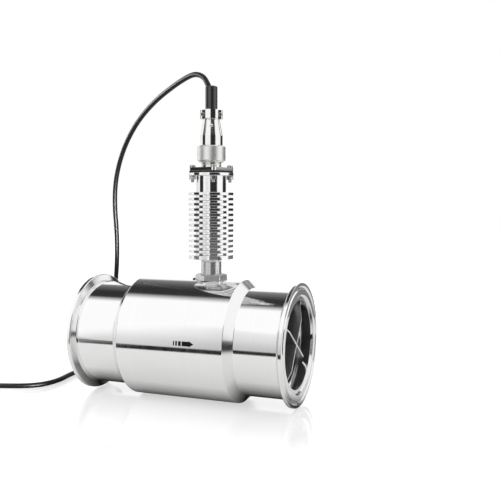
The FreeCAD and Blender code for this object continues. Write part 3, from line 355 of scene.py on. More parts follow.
# The finned housing of the pickup: a flared stem, thirteen cooling fins, a neck and a round flange, turned
# in one piece from stainless bar and polished. Its stem is screwed into the barrel.
FINS_BOTTOM, BASE_FIN_TOP, FINS_TOP = 61.15, 64.15, 111.07
FINS, FIN_PITCH, FIN_T, FIN_R, FIN_CORE_R = 13, 3.91, 2.1, 17.0, 11.8
FLANGE_BOTTOM, FLANGE_TOP = 123.5, 125.6
HOUSING_NECK_R, FLANGE_R = 11.25, 17.0
WELL_R, WELL_FLOOR = 8.0, 112.3
COIL_BORE_R, COIL_FLOOR = 5.6, 35.5
TURNED_R, FLARE_R = STEM_R - 0.05, 2.5
section = [(STEM_TIP_H, 0), (STEM_TIP_H, TURNED_R)]
for turn in (0.0, 14.0, 28.0, 42.0, 56.0):
    flare = math.radians(turn)
    section.append((FINS_BOTTOM - FLARE_R + FLARE_R * math.sin(flare),
                    TURNED_R + FLARE_R * (1 - math.cos(flare))))
section += [(FINS_BOTTOM, section[-1][1]), (FINS_BOTTOM, FIN_R), (BASE_FIN_TOP, FIN_R)]
for i in range(1, FINS):
    top = BASE_FIN_TOP + FIN_PITCH * i
    section += [(top - FIN_PITCH, FIN_CORE_R), (top - FIN_T, FIN_CORE_R), (top - FIN_T, FIN_R), (top, FIN_R)]
section += [(FINS_TOP, HOUSING_NECK_R), (FLANGE_BOTTOM, HOUSING_NECK_R), (FLANGE_BOTTOM, FLANGE_R),
            (FLANGE_TOP, FLANGE_R)]
section += [(FLANGE_TOP, WELL_R), (WELL_FLOOR, WELL_R), (WELL_FLOOR, COIL_BORE_R), (COIL_FLOOR, COIL_BORE_R),
            (COIL_FLOOR, 0)]
pickup_housing = turned_piece("pickup_housing", section, 112)
eased_edges(pickup_housing, 0.22)
smooth_faces(pickup_housing)
polished_stack = lathe_finish("polished_stainless_fins", ("#ececec", "#f8f8f8"), (0.08, 0.14), 0.5, 0.0003)
fitted(pickup_housing, polished_stack, "meter", "polished_stainless", "finned_housing")
# The stem and the flare above it are left satin from the tool, so they mirror less.
satin_stem = lathe_finish("satin_stainless_stem", ("#d4d4d4", "#ebebeb"), (0.22, 0.3), 0.5, 0.0003)
pickup_housing.data.materials.append(satin_stem)
for face in pickup_housing.data.polygons:
    arm = face.center / MM - STACK_FOOT
    face.material_index = int(arm.z < FINS_BOTTOM - 0.1 and arm.xy.length > 7.0)

# The lock nut: a thin hexagon nut from drawn stainless bar, crowned on top. It is run down the stem on to the
# milled seat and keeps the housing from turning.
NUT_TOP, NUT_FLATS, NUT_ROUND, NUT_BEARING = 49.7, 21.5, 1.0, -67.0


def upright_edge(edge):
    """Whether an edge of a mesh stands upright."""
    rise = edge.verts[0].co - edge.verts[1].co
    return abs(rise.z) > 0.9 * rise.length


def rounded_corners(piece, radius, segments, chosen):
    """Round the edges of a piece that a test picks."""
    only(piece)
    bpy.ops.object.mode_set(mode="EDIT")
    bpy.ops.mesh.select_mode(type="EDGE")
    bpy.ops.mesh.select_all(action="DESELECT")
    shape = bmesh.from_edit_mesh(piece.data)
    for edge in shape.edges:
        edge.select = chosen(edge)
    bpy.ops.mesh.bevel(offset=radius * MM, segments=segments, affect="EDGES")
    bpy.ops.object.mode_set(mode="OBJECT")


def round_bar(name, bottom, top, radius, steps, *axis):
    """A plain round bar, as stock or as a cutter."""
    return turned_piece(name, [(bottom, 0), (bottom, radius), (top, radius), (top, 0)], steps, *axis)


def hexagon_nut(name, across_flats, bottom, top, hole_r, foot, facing, corner_round=0.2):
    """A hexagon nut round an upright axis, one flat facing a bearing, its upper corners turned off."""
    corner_r = across_flats / 2 / math.cos(math.pi / 6)
    middle = foot + STACK_UP * (bottom + top) / 2
    bpy.ops.object.select_all(action="DESELECT")
    bpy.ops.mesh.primitive_cylinder_add(vertices=6, radius=corner_r * MM, depth=(top - bottom) * MM,
                                        location=middle * MM, rotation=(0, 0, math.radians(facing)))
    nut = bpy.context.object
    nut.name = nut.data.name = name
    bpy.ops.object.transform_apply(location=True, rotation=True, scale=True)
    rounded_corners(nut, corner_round, 3, upright_edge)
    chamfer = (corner_r - across_flats / 2) * 0.6
    crown = [(bottom - 1, 0), (bottom - 1, corner_r + 1), (top - chamfer, corner_r + 1),
             (top - chamfer, corner_r), (top, corner_r - chamfer * 1.73), (top, 0)]
    worked_with(nut, turned_piece("crown", crown, 72, foot), "INTERSECT")
    worked_with(nut, round_bar("drill", bottom - 1, top + 1, hole_r, 48, foot), "DIFFERENCE")
    return nut


stem_nut = hexagon_nut("stem_nut", NUT_FLATS, SEAT_H, NUT_TOP, STEM_R + 0.05, STACK_FOOT, NUT_BEARING,
                       NUT_ROUND)
eased_edges(stem_nut, 0.35, 3, 25.0)
smooth_faces(stem_nut)
# Drawn stainless bar: satin and a little darker, with fine die lines along the flats.
drawn_bar, tree, shader = finish_of("drawn_stainless_bar")
shader.inputs["Metallic"].default_value = 1.0
place = add_node(tree, "TexCoord", {})
stretch = add_node(tree, "Mapping", {"Vector": place.outputs["Object"], "Scale": (1.0, 1.0, 0.1)})
lines = add_node(tree, "TexNoise", {"Vector": stretch, "Scale": 1600.0, "Detail": 3.0})
patterned(tree, shader, lines, ("#cececd", "#e8e8e7"), (0.34, 0.5), 0.5, 0.03)
fitted(stem_nut, drawn_bar, "meter", "satin_stainless", "lock_nut")
# The spanner has rubbed its six upright edges bright.
stem_nut.data.materials.append(polished_stack)
upright = [face for face in stem_nut.data.polygons if abs(face.normal.z) < 0.3]
widest = max(face.area for face in upright)
flats = [face.normal for face in upright if face.area > widest / 2]
for face in upright:
    outside = (face.center / MM - STACK_FOOT).xy.length > NUT_FLATS / 2 - 0.25
    off_flats = all(flat.dot(face.normal) < math.cos(math.radians(8.0)) for flat in flats)
    face.material_index = int(outside and off_flats)

# Inside the housing: a copper coil on a nylon bobbin round an iron pole, a magnet above it, a small amplifier
# board and its wires. None of it shows when the meter is closed.
# Enamelled copper wire: amber lacquer over copper, the turns 0.25 mm apart.
copper, tree, shader = finish_of("enamelled_copper_wire")
shader.inputs["Metallic"].default_value = 0.85
place = add_node(tree, "TexCoord", {})
turns = add_node(tree, "TexWave", {"Vector": place.outputs["Object"], "Scale": 1257.0, "Distortion": 0.6},
                 bands_direction="Z")
patterned(tree, shader, turns.outputs["Fac"], ("#6e2f12", "#b8602a"), (0.25, 0.45), 0.8, 0.1)
as_modelled(copper, "pickup_coil", "coil_leads")


def moulded(name, tones, roughness, ior, grain, depth):
    """A moulded or coated surface: a fine even grain, in millimetres, in tone, gloss and height."""
    material, tree, shader = finish_of(name)
    shader.inputs["IOR"].default_value = ior
    place = add_node(tree, "TexCoord", {})
    grains = add_node(tree, "TexNoise", {"Vector": place.outputs["Object"], "Scale": 1 / (grain * MM),
                                         "Detail": 3.0})
    patterned(tree, shader, grains, tones, roughness, 0.5, depth)
    return material


# Natural nylon, bare iron and magnet alloy, and a green lacquered board, each with its own fine mottle.
as_modelled(moulded("natural_nylon", ("#cfc8b4", "#e2dcca"), (0.35, 0.5), 1.53, 0.8, 0.01), "coil_bobbin")
iron = lathe_finish("bare_soft_iron", ("#6a6a6b", "#8a8a8a"), (0.3, 0.5), 0.4, 0.004)
as_modelled(iron, "pole_piece", "pickup_magnet")
as_modelled(moulded("green_solder_mask", ("#0c4a22", "#156433"), (0.2, 0.35), 1.5, 1.2, 0.02),
            "amplifier_board")
as_modelled(moulded("red_core_insulation", ("#8e1712", "#b5261e"), (0.3, 0.42), 1.5, 0.6, 0.01),
            "pickup_leads", "solder_cores")

# The socket: a square flange with rounded corners and a threaded neck, die cast and nickel plated, on a black
# rubber gasket. Its inside carries a black insulator with three gilt pins.
PLATE_BOTTOM, PLATE_TOP = 127.2, 129.7
PLATE_HALF, PLATE_CORNER = 12.45, 2.5
PLATE_TURN = math.radians(-15.0)
NECK_ROOT_R, NECK_R = 7.65, 8.0
SOCKET_TOP, SOCKET_BORE_R, OPENING_R = 140.9, 6.5, 6.8
SHANK_BOTTOM, SHANK_TOP, SHANK_R = 116.6, 128.4, 7.9
SHELF_TOP, SHELF_R = 117.8, 5.5


def square_plate(name, bottom, top):
    """A square plate round the pickup axis, its upright corners rounded, turned as the socket stands."""
    bpy.ops.object.select_all(action="DESELECT")
    bpy.ops.mesh.primitive_cube_add(size=1.0, location=(STACK_FOOT + STACK_UP * (bottom + top) / 2) * MM,
                                    rotation=(0, 0, PLATE_TURN),
                                    scale=(2 * PLATE_HALF * MM, 2 * PLATE_HALF * MM, (top - bottom) * MM))
    plate = bpy.context.object
    plate.name = plate.data.name = name
    bpy.ops.object.transform_apply(location=True, rotation=True, scale=True)
    rounded_corners(plate, PLATE_CORNER, 8, upright_edge)
    return plate


seal = square_plate("flange_seal", FLANGE_TOP, PLATE_BOTTOM)
well = round_bar("well", FLANGE_TOP - 1, PLATE_BOTTOM + 1, WELL_R, 64)
worked_with(seal, well, "DIFFERENCE")
eased_edges(seal, 0.25, 3, 40.0)
smooth_faces(seal)
rubber = moulded("moulded_black_rubber", ("#0d0d0d", "#1a1a1a"), (0.5, 0.68), 1.52, 0.35, 0.02)
fitted(seal, rubber, "meter", "black_rubber", "socket_gasket")
panel_socket = square_plate("panel_socket", PLATE_BOTTOM, PLATE_TOP)
neck = [(SHANK_BOTTOM, SHELF_R), (SHANK_BOTTOM, SHANK_R), (SHANK_TOP, SHANK_R), (SHANK_TOP, NECK_ROOT_R),
        (SOCKET_TOP - 0.4, NECK_ROOT_R), (SOCKET_TOP, 7.3), (SOCKET_TOP, SOCKET_BORE_R),
        (SHELF_TOP, SOCKET_BORE_R), (SHELF_TOP, SHELF_R), (SHANK_BOTTOM, SHELF_R)]
opening = round_bar("opening", PLATE_BOTTOM - 1, PLATE_TOP + 1, OPENING_R, 64)
worked_with(panel_socket, opening, "DIFFERENCE")
worked_with(panel_socket, turned_piece("neck", neck, 64), "UNION")
eased_edges(panel_socket, 0.2, 3, 40.0)
smooth_faces(panel_socket)
# Bright nickel over brass: a slightly warm mirror, softened by the casting under it.
nickel = lathe_finish("bright_nickel_plate", ("#e6e6e4", "#f5f5f3"), (0.08, 0.16), 0.5, 0.0008)
fitted(panel_socket, nickel, "meter", "plated_brass", "socket_shell")
# The neck's thread, one right-handed ridge of 1 mm pitch, cut on the lathe.
PITCH = 1.0
bpy.ops.object.select_all(action="DESELECT")
bpy.ops.mesh.primitive_circle_add(vertices=3, radius=0.4 * MM, location=(NECK_ROOT_R * MM, 0, 0),
                                  rotation=(math.pi / 2, 0, 0))
neck_thread = bpy.context.object
neck_thread.name = neck_thread.data.name = "neck_thread"
bpy.ops.object.transform_apply(location=True, rotation=True, scale=True)
shape = bmesh.new()
shape.from_mesh(neck_thread.data)
for vert, (out, up) in zip(shape.verts, [(NECK_ROOT_R - 0.05, -0.45), (NECK_R - 0.02, 0.0),
                                         (NECK_ROOT_R - 0.05, 0.45)]):
    vert.co = Vector((out, 0, up)) * MM
shape.to_mesh(neck_thread.data)
shape.free()
helix = neck_thread.modifiers.new("helix", "SCREW")
helix.axis = "Z"
helix.angle = 2 * math.pi
helix.screw_offset = PITCH * MM
helix.iterations = 9
helix.steps = helix.render_steps = 48
bpy.ops.object.modifier_apply(modifier="helix")
bpy.ops.object.mode_set(mode="EDIT")
bpy.ops.mesh.select_mode(type="VERT")
bpy.ops.mesh.select_all(action="DESELECT")
bpy.ops.mesh.select_non_manifold()
bpy.ops.mesh.fill()
bpy.ops.mesh.select_all(action="SELECT")
bpy.ops.mesh.normals_make_consistent(inside=False)
bpy.ops.transform.translate(value=(STACK_FOOT + STACK_UP * (PLATE_TOP + 1.2)) * MM)
bpy.ops.object.mode_set(mode="OBJECT")
smooth_faces(neck_thread)
fitted(neck_thread, nickel, "meter", "plated_brass")
insulator = moulded("black_thermoset", ("#121213", "#1d1d1e"), (0.35, 0.5), 1.56, 0.5, 0.01)
as_modelled(insulator, "socket_insert", "plug_insert")
gilt = lathe_finish("gold_flash_on_brass", ("#c79a3e", "#e0b65a"), (0.15, 0.28), 0.3, 0.001)
as_modelled(gilt, "contact_pins", "contact_sockets")

# The flange screws: four pan heads with a cross recess through plate, gasket and flange, each with a washer
# and a small nut below. Zinc plated steel, grey and a little dull.
SCREW_REACH = 20.0 / math.sqrt(2)
SCREW_BEARING = PLATE_TURN + math.pi / 4
screw_foot = STACK_FOOT + Vector((math.cos(SCREW_BEARING), math.sin(SCREW_BEARING), 0)) * SCREW_REACH
SCREW_END, SCREW_R, SCREW_HEAD_R = 118.6, 1.25, 2.3
HEAD_TOP = PLATE_TOP + 1.9
WASHER_BOTTOM, WASHER_R, WASHER_HOLE_R = 122.9, 2.4, 1.35
SMALL_NUT_BOTTOM, SMALL_NUT_FLATS, SMALL_NUT_HOLE_R = 120.8, 5.0, 1.3


def four_round_stack(piece):
    """A piece and three copies of it, each with its own mesh, a quarter turn apart round the pickup axis."""
    row = [piece]
    for i in (1, 2, 3):
        only(piece)
        bpy.ops.object.duplicate()
        copy = bpy.context.object
        copy.name = copy.data.name = f"{piece.name}_{i + 1}"
        bpy.ops.object.mode_set(mode="EDIT")
        bpy.ops.mesh.select_all(action="SELECT")
        bpy.ops.transform.rotate(value=math.pi / 2 * i, orient_axis="Z", center_override=STACK_FOOT * MM)
        bpy.ops.object.mode_set(mode="OBJECT")
        row.append(copy)
    return row


def box_tool(name, middle, sides, turn):
    """A rectangular cutter, its sides in millimetres, turned about its upright axis."""
    bpy.ops.object.select_all(action="DESELECT")
    bpy.ops.mesh.primitive_cube_add(size=1.0, location=middle * MM, rotation=(0, 0, turn), scale=sides * MM)
    tool = bpy.context.object
    tool.name = name
    bpy.ops.object.transform_apply(location=True, rotation=True, scale=True)
    return tool


section = [(SCREW_END, 0), (SCREW_END, 0.9), (SCREW_END + 0.4, SCREW_R), (PLATE_TOP, SCREW_R),
           (PLATE_TOP, SCREW_HEAD_R), (PLATE_TOP + 1.1, SCREW_HEAD_R), (PLATE_TOP + 1.6, 2.0),
           (HEAD_TOP, 1.3), (HEAD_TOP, 0)]
pan_head = turned_piece("flange_screw", section, 40, screw_foot)
for turn in (0.3, 0.3 + math.pi / 2):
    recess = box_tool("recess", screw_foot + STACK_UP * HEAD_TOP, Vector((2.5, 0.55, 1.8)), turn)
    worked_with(pan_head, recess, "DIFFERENCE")
eased_edges(pan_head, 0.08, 2, 40.0)
smooth_faces(pan_head)
section = [(WASHER_BOTTOM, WASHER_HOLE_R), (WASHER_BOTTOM, WASHER_R), (FLANGE_BOTTOM, WASHER_R),
           (FLANGE_BOTTOM, WASHER_HOLE_R), (WASHER_BOTTOM, WASHER_HOLE_R)]
washer = turned_piece("flange_washer", section, 40, screw_foot)
eased_edges(washer, 0.08, 2, 40.0)
smooth_faces(washer)
small_nut = hexagon_nut("flange_nut", SMALL_NUT_FLATS, SMALL_NUT_BOTTOM, WASHER_BOTTOM, SMALL_NUT_HOLE_R,
                        screw_foot, math.degrees(SCREW_BEARING))
eased_edges(small_nut, 0.1, 2, 25.0)
smooth_faces(small_nut)
# Zinc plate: grey, soft gloss, a faint cloudiness in patches of about a millimetre.
zinc, tree, shader = finish_of("zinc_plated_steel")
shader.inputs["Metallic"].default_value = 1.0
place = add_node(tree, "TexCoord", {})
cloud = add_node(tree, "TexNoise", {"Vector": place.outputs["Object"], "Scale": 1000.0, "Detail": 3.0})
patterned(tree, shader, cloud, ("#a8a8a6", "#d2d2cf"), (0.2, 0.36))
for piece, node in [(pan_head, "flange_screws"), (washer, "flange_washers"), (small_nut, "flange_nuts")]:
    for one in four_round_stack(piece):
        fitted(one, zinc, "meter", "plated_fasteners", node)

# The plug's front: a sleeve of nickel plated brass that enters the socket. It carries the black insulator
# with its gilt contacts and is held in the rear shell.
as_modelled(nickel, "plug_barrel")

# The coupling ring: a nickel plated brass ring that screws the plug down, straight knurled for the fingers,
# with a short taper below and a plain lip above.
RING_BOTTOM, RING_TOP, RING_R = 133.55, 145.55, 10.7
KNURL_LOW, KNURL_HIGH, KNURL_DEPTH = 136.1, 144.4, 0.08
KNURLS = 64
THREAD_R, RING_HOLE_R, RING_SHELF = 8.1, 6.9, 142.65
section = [
    (RING_BOTTOM, THREAD_R), (RING_BOTTOM, 8.7), (RING_BOTTOM + 1.5, RING_R), (KNURL_LOW - 0.25, RING_R),
    (KNURL_LOW, RING_R), (KNURL_HIGH, RING_R), (KNURL_HIGH + 0.25, RING_R), (RING_TOP - 0.45, RING_R),
    (RING_TOP, RING_R - 0.45), (RING_TOP, RING_HOLE_R), (RING_SHELF, RING_HOLE_R), (RING_SHELF, THREAD_R),
    (RING_BOTTOM, THREAD_R),
]
screw_ring = turned_piece("screw_ring", section, 2 * KNURLS)
bpy.ops.object.mode_set(mode="EDIT")
bpy.ops.mesh.select_mode(type="VERT")
bpy.ops.mesh.select_all(action="DESELECT")
shape = bmesh.from_edit_mesh(screw_ring.data)
for vert in shape.verts:
    arm = vert.co / MM - STACK_FOOT
    column = round(math.atan2(arm.y, arm.x) / math.pi * KNURLS)
    knurled = KNURL_LOW - 0.01 < arm.z < KNURL_HIGH + 0.01 and arm.xy.length > RING_R - 0.05
    vert.select = knurled and column % 2 == 0
shape.select_flush_mode()
bmesh.update_edit_mesh(screw_ring.data)
inward = 1 - KNURL_DEPTH / RING_R
bpy.ops.transform.resize(value=(inward, inward, 1), center_override=STACK_FOOT * MM)
bpy.ops.object.mode_set(mode="OBJECT")
smooth_faces(screw_ring, 14.0)
# Nickel plate over knurled brass: satin, because the knurl breaks up what it reflects.
satin_nickel = lathe_finish("satin_nickel_plate", ("#eeeeec", "#fafaf8"), (0.36, 0.46), 0.5, 0.002)
fitted(screw_ring, satin_nickel, "ring", "plated_brass", "coupling_ring")

# The plug's rear shell: a straight skirt and a cone, turned from brass and bright nickel plated. A slotted
# grub screw in the cone keeps it from turning, and the fixed half of the cable clamp stands on top of it.
SHELL_BOTTOM, CONE_BOTTOM, CONE_TOP = 146.05, 153.35, 165.25
CLAMP_BOTTOM, CLAMP_TOP = 165.85, 172.45
SKIRT_BORE_R, SKIRT_SHELF, CABLE_HOLE_R = 6.35, 151.05, 2.1
SHELL_R, SHELL_TOP_R, BOOT_R = 8.6, 6.4, 4.6
FRONT_BEARING = math.radians(-66.0)
FRONT = Vector((math.cos(FRONT_BEARING), math.sin(FRONT_BEARING), 0))
ASIDE = Vector((-FRONT.y, FRONT.x, 0))
section = [
    (SHELL_BOTTOM, SKIRT_BORE_R), (SHELL_BOTTOM, SHELL_R), (CONE_BOTTOM, SHELL_R), (CONE_TOP, SHELL_TOP_R),
    (CLAMP_BOTTOM, SHELL_TOP_R), (CLAMP_BOTTOM, CABLE_HOLE_R), (CONE_TOP - 3.2, CABLE_HOLE_R),
    (SKIRT_SHELF, 5.4), (SKIRT_SHELF, SKIRT_BORE_R), (SHELL_BOTTOM, SKIRT_BORE_R),
]
rear_shell = turned_piece("rear_shell", section, 96)
eased_edges(rear_shell, 0.15, 3, 6.0)
GRUB_H, GRUB_R = 160.55, 1.25
grub_face = SHELL_R + (GRUB_H - CONE_BOTTOM) / (CONE_TOP - CONE_BOTTOM) * (SHELL_TOP_R - SHELL_R)
grub_foot = STACK_FOOT + STACK_UP * GRUB_H
tap = round_bar("tap", CABLE_HOLE_R + 0.1, SHELL_R + 0.4, GRUB_R + 0.02, 32, grub_foot, FRONT, STACK_UP)
worked_with(rear_shell, tap, "DIFFERENCE")
smooth_faces(rear_shell)
fitted(rear_shell, nickel, "plug", "plated_brass", "plug_shell")
section = [(grub_face - 2.6, 0), (grub_face - 2.6, GRUB_R), (grub_face - 0.15, GRUB_R),
           (grub_face + 0.2, GRUB_R * 0.55), (grub_face + 0.28, 0)]
grub_screw = turned_piece("grub_screw", section, 32, grub_foot, FRONT, STACK_UP)
slot_cutter = box_tool("slot", grub_foot + FRONT * grub_face, Vector((1.4, 3.0, 0.45)), FRONT_BEARING)
worked_with(grub_screw, slot_cutter, "DIFFERENCE")
smooth_faces(grub_screw)
fitted(grub_screw, satin_nickel, "plug", "plated_fasteners", "shell_set_screw")

# The signal cable: a round black sheath, semi-gloss as it leaves the extruder, out of the boot,
# over the top, down behind the inlet and along the surface to a coil that a strap holds.
CABLE_D = 4.0
FLOOR_LINE = 2.05
route = [
    (STACK_X, 0.0, 225.95), (STACK_X, 0.0, 231.45), (11.2, 0.0, 237.6), (7.4, 0.8, 244.0),
    (-0.8, 3.2, 247.0), (-11.0, 6.8, 244.8), (-27.0, 12.6, 238.6), (-46.5, 20.6, 229.4),
    (-66.0, 30.2, 216.6), (-82.4, 40.0, 201.2), (-94.4, 48.0, 184.6), (-101.9, 53.2, 166.6),
    (-105.0, 57.0, 146.0), (-104.8, 60.0, 123.0), (-105.8, 62.0, 100.0), (-108.3, 63.4, 78.0),
    (-111.0, 64.3, 57.0), (-113.4, 64.2, 38.0), (-115.0, 63.3, 26.0), (-116.4, 61.6, 16.2),
    (-117.6, 58.3, 9.6), (-119.2, 53.1, 4.7), (-121.3, 46.6, FLOOR_LINE),
    (-123.8, 38.0, FLOOR_LINE), (-125.4, 26.0, FLOOR_LINE), (-124.4, 12.0, FLOOR_LINE),
    (-122.0, -2.0, FLOOR_LINE), (-122.9, -14.6, FLOOR_LINE), (-127.4, -24.4, FLOOR_LINE),
    (-137.0, -31.2, FLOOR_LINE), (-150.5, -36.2, FLOOR_LINE), (-167.5, -41.6, FLOOR_LINE),
    (-183.5, -47.2, FLOOR_LINE),
]
leaving = route[:7]
COIL_MIDDLE = Vector((-208.0, -30.0, 0.0))
COIL_ROWS = [27.0, 23.0, 19.0, 15.0]
STEP_OVER = 43.0
TIE_BEARING = 60.0
TIE_T = 0.85
last = Vector(route[-1]) - COIL_MIDDLE
entry = math.degrees(math.atan2(last.y, last.x)) - math.degrees(math.acos(COIL_ROWS[0] / last.xy.length))


def eased(share):
    """A share that leaves nought and reaches one gently."""
    share = min(max(share, 0.0), 1.0)
    return share * share * (3 - 2 * share)


def stepped(turn, levels, starts):
    """A value that moves from one level to the next over a short arc that begins at each start."""
    value = levels[0]
    for before, after, start in zip(levels, levels[1:], starts):
        value += (after - before) * eased((turn - start) / STEP_OVER)
    return value


inner_starts = [360 * lap - STEP_OVER for lap in (1, 2, 3)]
climb = 4 * 360 - 2 * STEP_OVER
outer_starts = [360 * lap - 3 * STEP_OVER for lap in (5, 6, 7)]
end_turn = 7 * 360 + (entry + 180) % 360
turn_step = 20.0
for i in range(int(end_turn / turn_step)):
    turn = turn_step * i
    radius = stepped(turn, COIL_ROWS + COIL_ROWS[-2::-1], inner_starts + outer_starts)
    off_tie = abs((entry - turn - TIE_BEARING + 180) % 360 - 180)
    over_tie = TIE_T * eased((65 - off_tie) / 40)
    height = stepped(turn, [FLOOR_LINE, FLOOR_LINE + CABLE_D], [climb]) + over_tie
    bearing = math.radians(entry - turn)
    route.append((COIL_MIDDLE.x + radius * math.cos(bearing), COIL_MIDDLE.y + radius * math.sin(bearing),
                  height))
tail_x, tail_y, tail_z = COIL_MIDDLE.x - COIL_ROWS[0], COIL_MIDDLE.y, FLOOR_LINE + CABLE_D
for along, drop in [(0.0, 0.0), (14.0, 0.4), (26.0, 2.2), (38.0, 3.6), (50.0, 4.0)]:
    route.append((tail_x - drop / 4, tail_y + along, tail_z - drop))


def smooth_line(name, places):
    """A smooth curve that follows places in millimetres."""
    line = bpy.data.curves.new(name, "CURVE")
    line.dimensions = "3D"
    spline = line.splines.new("NURBS")
    spline.points.add(len(places) - 1)
    for knot, place in zip(spline.points, places):
        knot.co = (place[0] * MM, place[1] * MM, place[2] * MM, 1.0)
    spline.order_u = 3
    spline.use_endpoint_u = True
    spline.resolution_u = 8
    curve = bpy.data.objects.new(name, line)
    bpy.context.scene.collection.objects.link(curve)
    return curve


def drawn_round(curve, diameter):
    """The curve made a round solid of a diameter, with closed ends."""
    curve.data.bevel_depth = diameter / 2 * MM
    curve.data.bevel_resolution = 5
    curve.data.use_fill_caps = True
    only(curve)
    bpy.ops.object.convert(target="MESH")
    bpy.ops.object.mode_set(mode="EDIT")
    bpy.ops.mesh.select_all(action="SELECT")
    bpy.ops.mesh.remove_doubles(threshold=WELD_GAP * MM)
    bpy.ops.mesh.normals_make_consistent(inside=False)
    bpy.ops.object.mode_set(mode="OBJECT")
    bpy.ops.object.shade_smooth_by_angle(angle=math.radians(50.0))
    return curve


signal_cable = smooth_line("signal_cable", route)
bpy.context.view_layer.update()
evaluated = signal_cable.evaluated_get(bpy.context.evaluated_depsgraph_get())
centre_line = bpy.data.meshes.new_from_object(evaluated)
drawn_round(signal_cable, CABLE_D)
# Extruded PVC: near black, a slight sheen, faint ripples a few millimetres long from the die.
sheath = moulded("extruded_black_pvc", ("#0b0b0c", "#151515"), (0.3, 0.4), 1.53, 3.5, 0.03)
sheath.node_tree.nodes["Principled BSDF"].inputs["Specular IOR Level"].default_value = 0.25
signal_cable.data.materials.append(sheath)
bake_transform(signal_cable)
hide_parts("cable", "cable_coil", "cable_tail")
as_modelled(sheath, "cable_end")

# The boot: a moulded rubber sleeve that the clamp grips, slid over the cable. The cable leaves its top
# to the inlet side and draws the mouth open that way.
BOOT_TOP, BOOT_HOLE_R = 190.25, 2.05
FLARED_R, FLARED_DEPTH = 3.0, 10.3
section = [
    (CLAMP_BOTTOM, BOOT_HOLE_R), (CLAMP_BOTTOM, BOOT_R), (BOOT_TOP - 0.9, BOOT_R),
    (BOOT_TOP - 0.35, BOOT_R - 0.2), (BOOT_TOP, BOOT_R - 0.8), (BOOT_TOP, FLARED_R),
    (BOOT_TOP - FLARED_DEPTH, FLARED_R), (BOOT_TOP - FLARED_DEPTH, BOOT_HOLE_R), (CLAMP_BOTTOM, BOOT_HOLE_R),
]
cable_sleeve = turned_piece("cable_sleeve", section, 64)
worked_with(cable_sleeve, drawn_round(smooth_line("passage", leaving), CABLE_D + 0.1), "DIFFERENCE")
smooth_faces(cable_sleeve, 40.0)
# The same rubber as the gasket, with the faint upright draw lines of its mould.
sleeve_rubber, tree, shader = finish_of("drawn_black_rubber")
shader.inputs["IOR"].default_value = 1.52
shader.inputs["Coat Weight"].default_value = 1.0
shader.inputs["Coat Roughness"].default_value = 0.16
place = add_node(tree, "TexCoord", {})
stretch = add_node(tree, "Mapping", {"Vector": place.outputs["Object"], "Scale": (1.0, 1.0, 0.06)})
draw = add_node(tree, "TexNoise", {"Vector": stretch, "Scale": 900.0, "Detail": 3.0})
patterned(tree, shader, draw, ("#101010", "#1e1e1e"), (0.36, 0.52), 0.5, 0.04)
fitted(cable_sleeve, sleeve_rubber, "plug", "black_rubber", "cable_boot")

# The cable clamp: two die cast half saddles, as round as the shell and nickel plated, each with two flats cut
# for screw heads. The rear one belongs to the shell, and the front one is drawn to it by two slotted screws.
CLAMP_R, CLAMP_SPLIT = 8.5, 0.6
EAR_T, EAR_ROUND = 2.4, 1.6
BACK_HALF_W, BACK_INSET = 4.95, 0.3
clamp_middle = STACK_FOOT + STACK_UP * (CLAMP_BOTTOM + CLAMP_TOP) / 2
CLAMP_H = CLAMP_TOP - CLAMP_BOTTOM


def half_saddle(name, side):
    """Half a clamp: a round back between two flat ears, on the front or the rear of the split."""
    ears = box_tool(name, clamp_middle + FRONT * side * (CLAMP_SPLIT + EAR_T) / 2,
                    Vector((EAR_T, 2 * CLAMP_R, CLAMP_H)), FRONT_BEARING)
    ears.data.name = name

    def outer_corner(edge):
        middle = (edge.verts[0].co + edge.verts[1].co) / 2 / MM - clamp_middle
        return abs(middle.z) < 0.01 and middle.dot(FRONT) * side > EAR_T

    rounded_corners(ears, EAR_ROUND, 6, outer_corner)
    back = round_bar("back", CLAMP_BOTTOM, CLAMP_TOP, CLAMP_R, 144)
    # The back starts a little inside the ears, so that no two faces coincide.
    middle = box_tool("middle", clamp_middle + FRONT * side * (10 + BACK_INSET + CLAMP_SPLIT / 2),
                      Vector((20, 2 * BACK_HALF_W, 12)), FRONT_BEARING)
    worked_with(back, middle, "INTERSECT")
    worked_with(ears, back, "UNION")
    bore = round_bar("bore", CLAMP_BOTTOM - 1, CLAMP_TOP + 1, BOOT_R, 72)
    worked_with(ears, bore, "DIFFERENCE")
    eased_edges(ears, 0.22, 3, 40.0)
    smooth_faces(ears)
    return ears


front_saddle = half_saddle("front_saddle", 1)
rear_saddle = half_saddle("rear_saddle", -1)
fitted(front_saddle, nickel, "plug", "plated_brass", "cable_clamp")
fitted(rear_saddle, nickel, "plug", "plated_brass", "plug_shell")
EAR_FACE = CLAMP_SPLIT / 2 + EAR_T
SADDLE_FACE = EAR_FACE + 1.3
SADDLE_SCREW_OUT, SADDLE_SCREW_R, SADDLE_HEAD_R = 6.6, 1.0, 1.4
for side, name in [(-1, "saddle_screw"), (1, "saddle_screw_2")]:
    foot = clamp_middle + ASIDE * side * SADDLE_SCREW_OUT
    section = [(-EAR_FACE, 0), (-EAR_FACE, SADDLE_SCREW_R), (EAR_FACE, SADDLE_SCREW_R),
               (EAR_FACE, SADDLE_HEAD_R), (SADDLE_FACE - 0.25, SADDLE_HEAD_R), (SADDLE_FACE, 1.1),
               (SADDLE_FACE, 0)]
    saddle_screw = turned_piece(name, section, 32, foot, FRONT, STACK_UP)
    slot_cutter = box_tool("slot", foot + FRONT * SADDLE_FACE, Vector((1.2, 3.2, 0.45)), FRONT_BEARING)
    worked_with(saddle_screw, slot_cutter, "DIFFERENCE")
    smooth_faces(saddle_screw)
    fitted(saddle_screw, zinc, "plug", "plated_fasteners", "clamp_screws")

